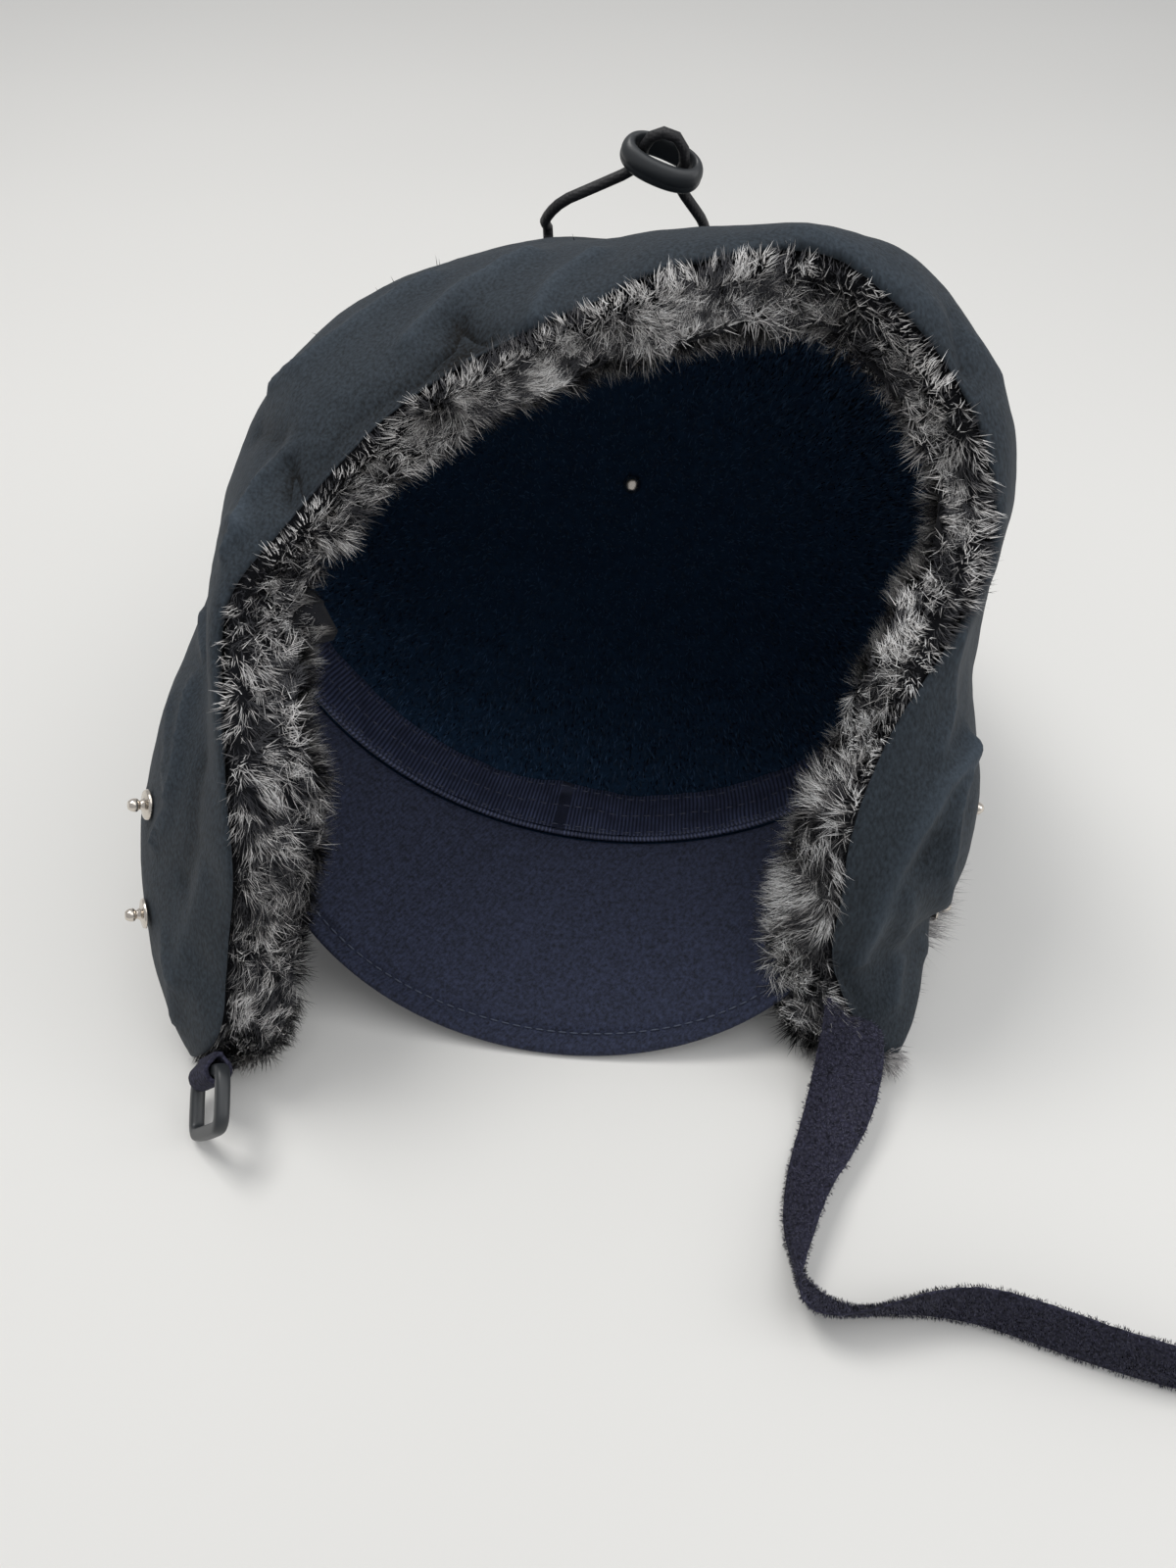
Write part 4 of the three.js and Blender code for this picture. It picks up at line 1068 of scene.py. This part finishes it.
def edge_pile(fibre):
    """Pile that shows past the edge of the right ear flap."""
    chosen = settings()
    root_tone = np.array(chosen.pile_root_colour)
    tip_tone = np.array(chosen.pile_tip_colour)
    rng = np.random.default_rng(110)
    rows = []
    for start, end, way, reach, count in PILE_TUFTS:
        share = rng.random((count, 1))
        root = (np.array(start) + (np.array(end) - np.array(start)) * share) * MM
        root += rng.normal(size=root.shape) * 0.8 * MM
        way = unit(np.array(way) + rng.normal(size=root.shape) * 0.35)
        length = reach * MM * rng.uniform(0.6, 1.3, (count, 1))
        rows.append((root, root + way * length * 0.5, root + way * length))
    root, middle, tip = (np.concatenate(part) for part in zip(*rows))
    for row in (root, middle, tip):
        row[:, 2] = np.maximum(row[:, 2], 0.3 * MM)
    frost = rng.uniform(0.1, 1.0, (len(root), 1))
    tones = [root_tone + (tip_tone - root_tone) * frost * share for share in (0, 0.4, 1)]
    facing = np.tile([0.3, -0.4, 0.87], (len(root), 1))
    width = np.full(len(root), chosen.hair_width)
    mesh = hair_mesh("pile_edge", root, middle, tip, facing, width, np.stack(tones, axis=1))
    mesh.materials.append(fibre)
    new_piece("pile_edge", mesh)


class CAP_OT_pile(bpy.types.Operator):
    """Long pile of the flap"""

    bl_idname = "cap.pile"
    bl_label = "Long pile"

    def execute(self, context):
        chosen = settings()
        body = fine_mesh("flap_fur", "pile_backing", 2)
        walls = joined_tree("flap_shell", "crown_shell")
        shell = tree_of(NODES["flap_shell"].data)
        crown = tree_of(NODES["crown_lining"].data)
        points = points_of(body)
        deep = smoothstep(50 * MM, 140 * MM, points[:, 2]) + 0.4 * (points[:, 0] < 0)
        sink = np.minimum(distances(points, walls) * 0.55, PILE_SINK * np.minimum(deep, 1))
        sink *= smoothstep(1 * MM, 5 * MM, distances(points, crown))
        move_points(body, points - normals_of(body) * sink[:, None])
        body.materials.append(undercoat())
        new_piece("pile_backing", body, ["flap_fur"])

        fibre = hair_fibre("frosted_modacrylic", 0.55)
        root_tone = np.array(chosen.pile_root_colour)
        tip_tone = np.array(chosen.pile_tip_colour)
        parts = (
            ("pile_left", lambda x: x < -52 * MM),
            ("pile_back", lambda x: (x >= -52 * MM) & (x < 30 * MM)),
            ("pile_right", lambda x: x >= 30 * MM),
        )
        for seed, (name, side) in enumerate(parts):
            rng = np.random.default_rng(100 + seed)

            def keep(middle):
                free = (distances(middle, walls) > 0.25 * MM) & side(middle[:, 0])
                return free.astype(float)

            count = chosen.hairs_per_part // 1
            locks = chosen.locks_per_part
            clumps, _ = surface_spots(body, locks, rng, keep)
            spots, ways = surface_spots(body, count, rng, keep)
            clump = clump_of(spots, clumps)
            # Each hair lies by the swirls, down the crown and, at the hem, over it
            swirl = vector_noise(clumps, 22 * MM, 40)[clump] * 1.1
            swirl += vector_noise(spots, 5 * MM, 60) * 0.5
            swirl += rng.normal(size=clumps.shape)[clump] * 0.15
            swirl -= (swirl * ways).sum(axis=1)[:, None] * ways
            down = -CROWN_UP + (ways @ CROWN_UP)[:, None] * ways
            # Near the hem the pile rises over it and falls outwards
            hem = np.array([shell.find_nearest(p)[0] for p in spots.tolist()]) - spots
            reach = np.linalg.norm(hem, axis=1)
            hem -= (hem * ways).sum(axis=1)[:, None] * ways
            near = 1 - smoothstep(1 * MM, 6 * MM, reach)
            out = hem / np.maximum(reach, 0.1 * MM)[:, None] * near[:, None]
            lift = ways * (near * 1.6 * MM)[:, None]
            way = ways * 0.42 + down * 0.2 * (1 - near[:, None]) + out * 0.8 + swirl
            way = unit(way + rng.normal(size=spots.shape) * 0.2)
            # Longer low on the right, shorter over the hem
            length = chosen.pile_length * rng.uniform(0.65, 1.15, count)
            length *= 1 + 0.3 * smoothstep(110 * MM, 70 * MM, spots[:, 2]) * (spots[:, 0] > 0)
            length *= 1 - 0.3 * near
            root = spots - ways * 0.5 * MM
            middle = spots + lift + unit(ways * 0.9 + way * 0.5) * (length * 0.45)[:, None]
            tip = middle + way * (length * 0.55)[:, None]
            # The hairs of a clump lean together into a lock
            pull = (clumps[clump] - spots) * rng.uniform(0.1, 0.7, (count, 1))
            middle += pull * 0.35
            tip += pull
            # Frosted tips in patches, painted brighter low on the right as painted light, and
            # warmer near the rim
            patch = value_noise(spots, 2.6 * MM, 80) * 0.8 + value_noise(spots, 8 * MM, 90) * 0.5
            patch += rng.normal(0, 0.12, locks)[clump]
            painted_light_low_right = smoothstep(150 * MM, 90 * MM, spots[:, 2]) * (spots[:, 0] > 0)
            frost = 0.06 + 2.5 * smoothstep(-0.14, 0.3, patch)
            # Painted light: the pile low on the right is brightened
            frost *= 1 + 1.2 * painted_light_low_right
            frost *= np.where(rng.random(count) < 0.3, 0.25, rng.normal(1.0, 0.25, count))
            frost = np.clip(frost, 0.02, 3.5)
            rim = 1 - smoothstep(8 * MM, 24 * MM, -(spots - RIM_MIDDLE) @ CROWN_UP)
            warm = 1 + rim[:, None] * np.array([0.06, -0.03, -0.12])
            mid_tone = root_tone + (tip_tone - root_tone) * (frost * 0.33)[:, None]
            end_tone = (root_tone + (tip_tone - root_tone) * frost[:, None]) * warm
            tones = np.stack([np.tile(root_tone * 0.6, (count, 1)), mid_tone, end_tone], axis=1)
            tones = np.clip(tones, 0, 0.95)
            width = chosen.hair_width * rng.uniform(0.7, 1.2, count)
            inside = crosses(spots + ways * 0.2 * MM, spots + lift + ways * 0.4 * MM, walls)
            blocked = crosses(spots + lift, middle, walls) | crosses(middle, tip, walls)
            # Hairs that would run through the cloth stand up straight and short
            short = (length * 0.35)[:, None]
            middle[blocked] = (spots + lift + ways * short)[blocked]
            tip[blocked] = (spots + lift + ways * short * 1.8)[blocked]
            free = ~blocked
            free[blocked] = ~crosses((spots + lift)[blocked], tip[blocked], walls)
            free &= ~inside
            for row in (root, middle, tip):
                row[:, 2] = np.maximum(row[:, 2], 0.2 * MM)
            root, middle, tip, ways, way = (row[free] for row in (root, middle, tip, ways, way))
            width, tones = width[free], tones[free]
            mesh = hair_mesh(name, root, middle, tip, unit(ways + way * 0.5), width, tones)
            mesh.materials.append(fibre)
            new_piece(name, mesh)
        edge_pile(fibre)
        return {"FINISHED"}


class CAP_OT_studs(bpy.types.Operator):
    """Ball studs and the rivet of the button"""

    bl_idname = "cap.studs"
    bl_label = "Studs"

    def execute(self, context):
        metal = plated_steel()
        for node in (
            "stud_left_upper",
            "stud_left_lower",
            "stud_right_upper",
            "stud_right_lower",
            "button_rivet",
        ):
            mesh = fine_mesh(node, "polished_" + node, 2, crease=40)
            mesh.materials.append(metal)
            new_piece("polished_" + node, mesh, [node])
        return {"FINISHED"}


class CAP_OT_ring(bpy.types.Operator):
    """Ring at the left flap and the webbing that holds it"""

    bl_idname = "cap.ring"
    bl_label = "Ring"

    def execute(self, context):
        mesh = fine_mesh("slider_ring", "moulded_ring", 2)
        mesh.materials.append(moulded_nylon())
        new_piece("moulded_ring", mesh, ["slider_ring"])
        mesh = fine_mesh("ring_tab", "webbing_tab", 2, crease=50)
        mesh.materials.append(loop_webbing())
        new_piece("webbing_tab", mesh, ["ring_tab"])
        return {"FINISHED"}


class CAP_OT_strap(bpy.types.Operator):
    """Chin strap of loop webbing"""

    bl_idname = "cap.strap"
    bl_label = "Chin strap"

    def execute(self, context):
        mesh = fine_mesh("chin_strap", "loop_strap", 3)
        points = points_of(mesh)
        # In its bend the webbing leans over its smooth lower edge
        far = np.linalg.norm(points[:, :2] - np.array(STRAP_BEND) * MM, axis=1)
        lean = math.radians(STRAP_LEAN) * np.exp(-((far / (STRAP_BEND_REACH * MM)) ** 2))
        points[:, 0] -= STRAP_LEAN_WAY[0] * np.sin(lean) * points[:, 2]
        points[:, 1] -= STRAP_LEAN_WAY[1] * np.sin(lean) * points[:, 2]
        points[:, 2] *= np.cos(lean)
        move_points(mesh, points)
        fuzz = 0.25 * MM * noise_heights(points, 1.6 * MM, 21)
        fuzz *= smoothstep(0.3 * MM, 1.5 * MM, points[:, 2])
        move_points(mesh, points + normals_of(mesh) * fuzz[:, None])
        mesh.materials.append(loop_webbing())
        new_piece("loop_strap", mesh, ["chin_strap"])

        rng = np.random.default_rng(31)
        spots, ways = surface_spots(mesh, STRAP_LOOPS, rng, lambda middle: np.ones(len(middle)))
        lean = unit(rng.normal(size=spots.shape)) * 0.8
        tips = spots + unit(ways + lean) * (rng.uniform(0.5, 1.5, len(spots)) * MM)[:, None]
        tips[:, 2] = np.maximum(tips[:, 2], 0.1 * MM)
        base = np.array(settings().webbing_colour)
        light = rng.uniform(0.7, 3.0, len(spots))[:, None]
        tones = np.stack([base * 0.6 + 0 * light, base * light, base * light], axis=1)
        width = np.full(len(spots), 0.22 * MM)
        hair = hair_mesh("strap_loops", spots, (spots + tips) / 2, tips, ways, width, tones)
        hair.materials.append(hair_fibre("nylon_loops", 0.75))
        new_piece("strap_loops", hair)
        return {"FINISHED"}


OPERATORS = (
    CAP_OT_stage,
    CAP_OT_drawcord,
    CAP_OT_shell,
    CAP_OT_lining,
    CAP_OT_band,
    CAP_OT_peak,
    CAP_OT_pile,
    CAP_OT_studs,
    CAP_OT_ring,
    CAP_OT_strap,
)


class CAP_PT_panel(bpy.types.Panel):
    """Sizes and colours of the cap, and its pieces"""

    bl_idname = "CAP_PT_panel"
    bl_label = "Earflap cap"
    bl_space_type = "VIEW_3D"
    bl_region_type = "UI"
    bl_category = "Cap"

    def draw(self, context):
        chosen = context.scene.cap_settings
        for name in chosen.bl_rna.properties.keys():
            if name not in ("rna_type", "name"):
                self.layout.prop(chosen, name)
        for kind in OPERATORS:
            self.layout.operator(kind.bl_idname)


def register():
    for kind in (CapSettings, *OPERATORS, CAP_PT_panel):
        bpy.utils.register_class(kind)
    bpy.types.Scene.cap_settings = bpy.props.PointerProperty(type=CapSettings)


def unregister():
    del bpy.types.Scene.cap_settings
    for kind in reversed((CapSettings, *OPERATORS, CAP_PT_panel)):
        bpy.utils.unregister_class(kind)


def main():
    """Builds every piece in order."""
    register()
    for kind in OPERATORS:
        group, name = kind.bl_idname.split(".")
        getattr(getattr(bpy.ops, group), name)()


if __name__ == "__main__":
    main()
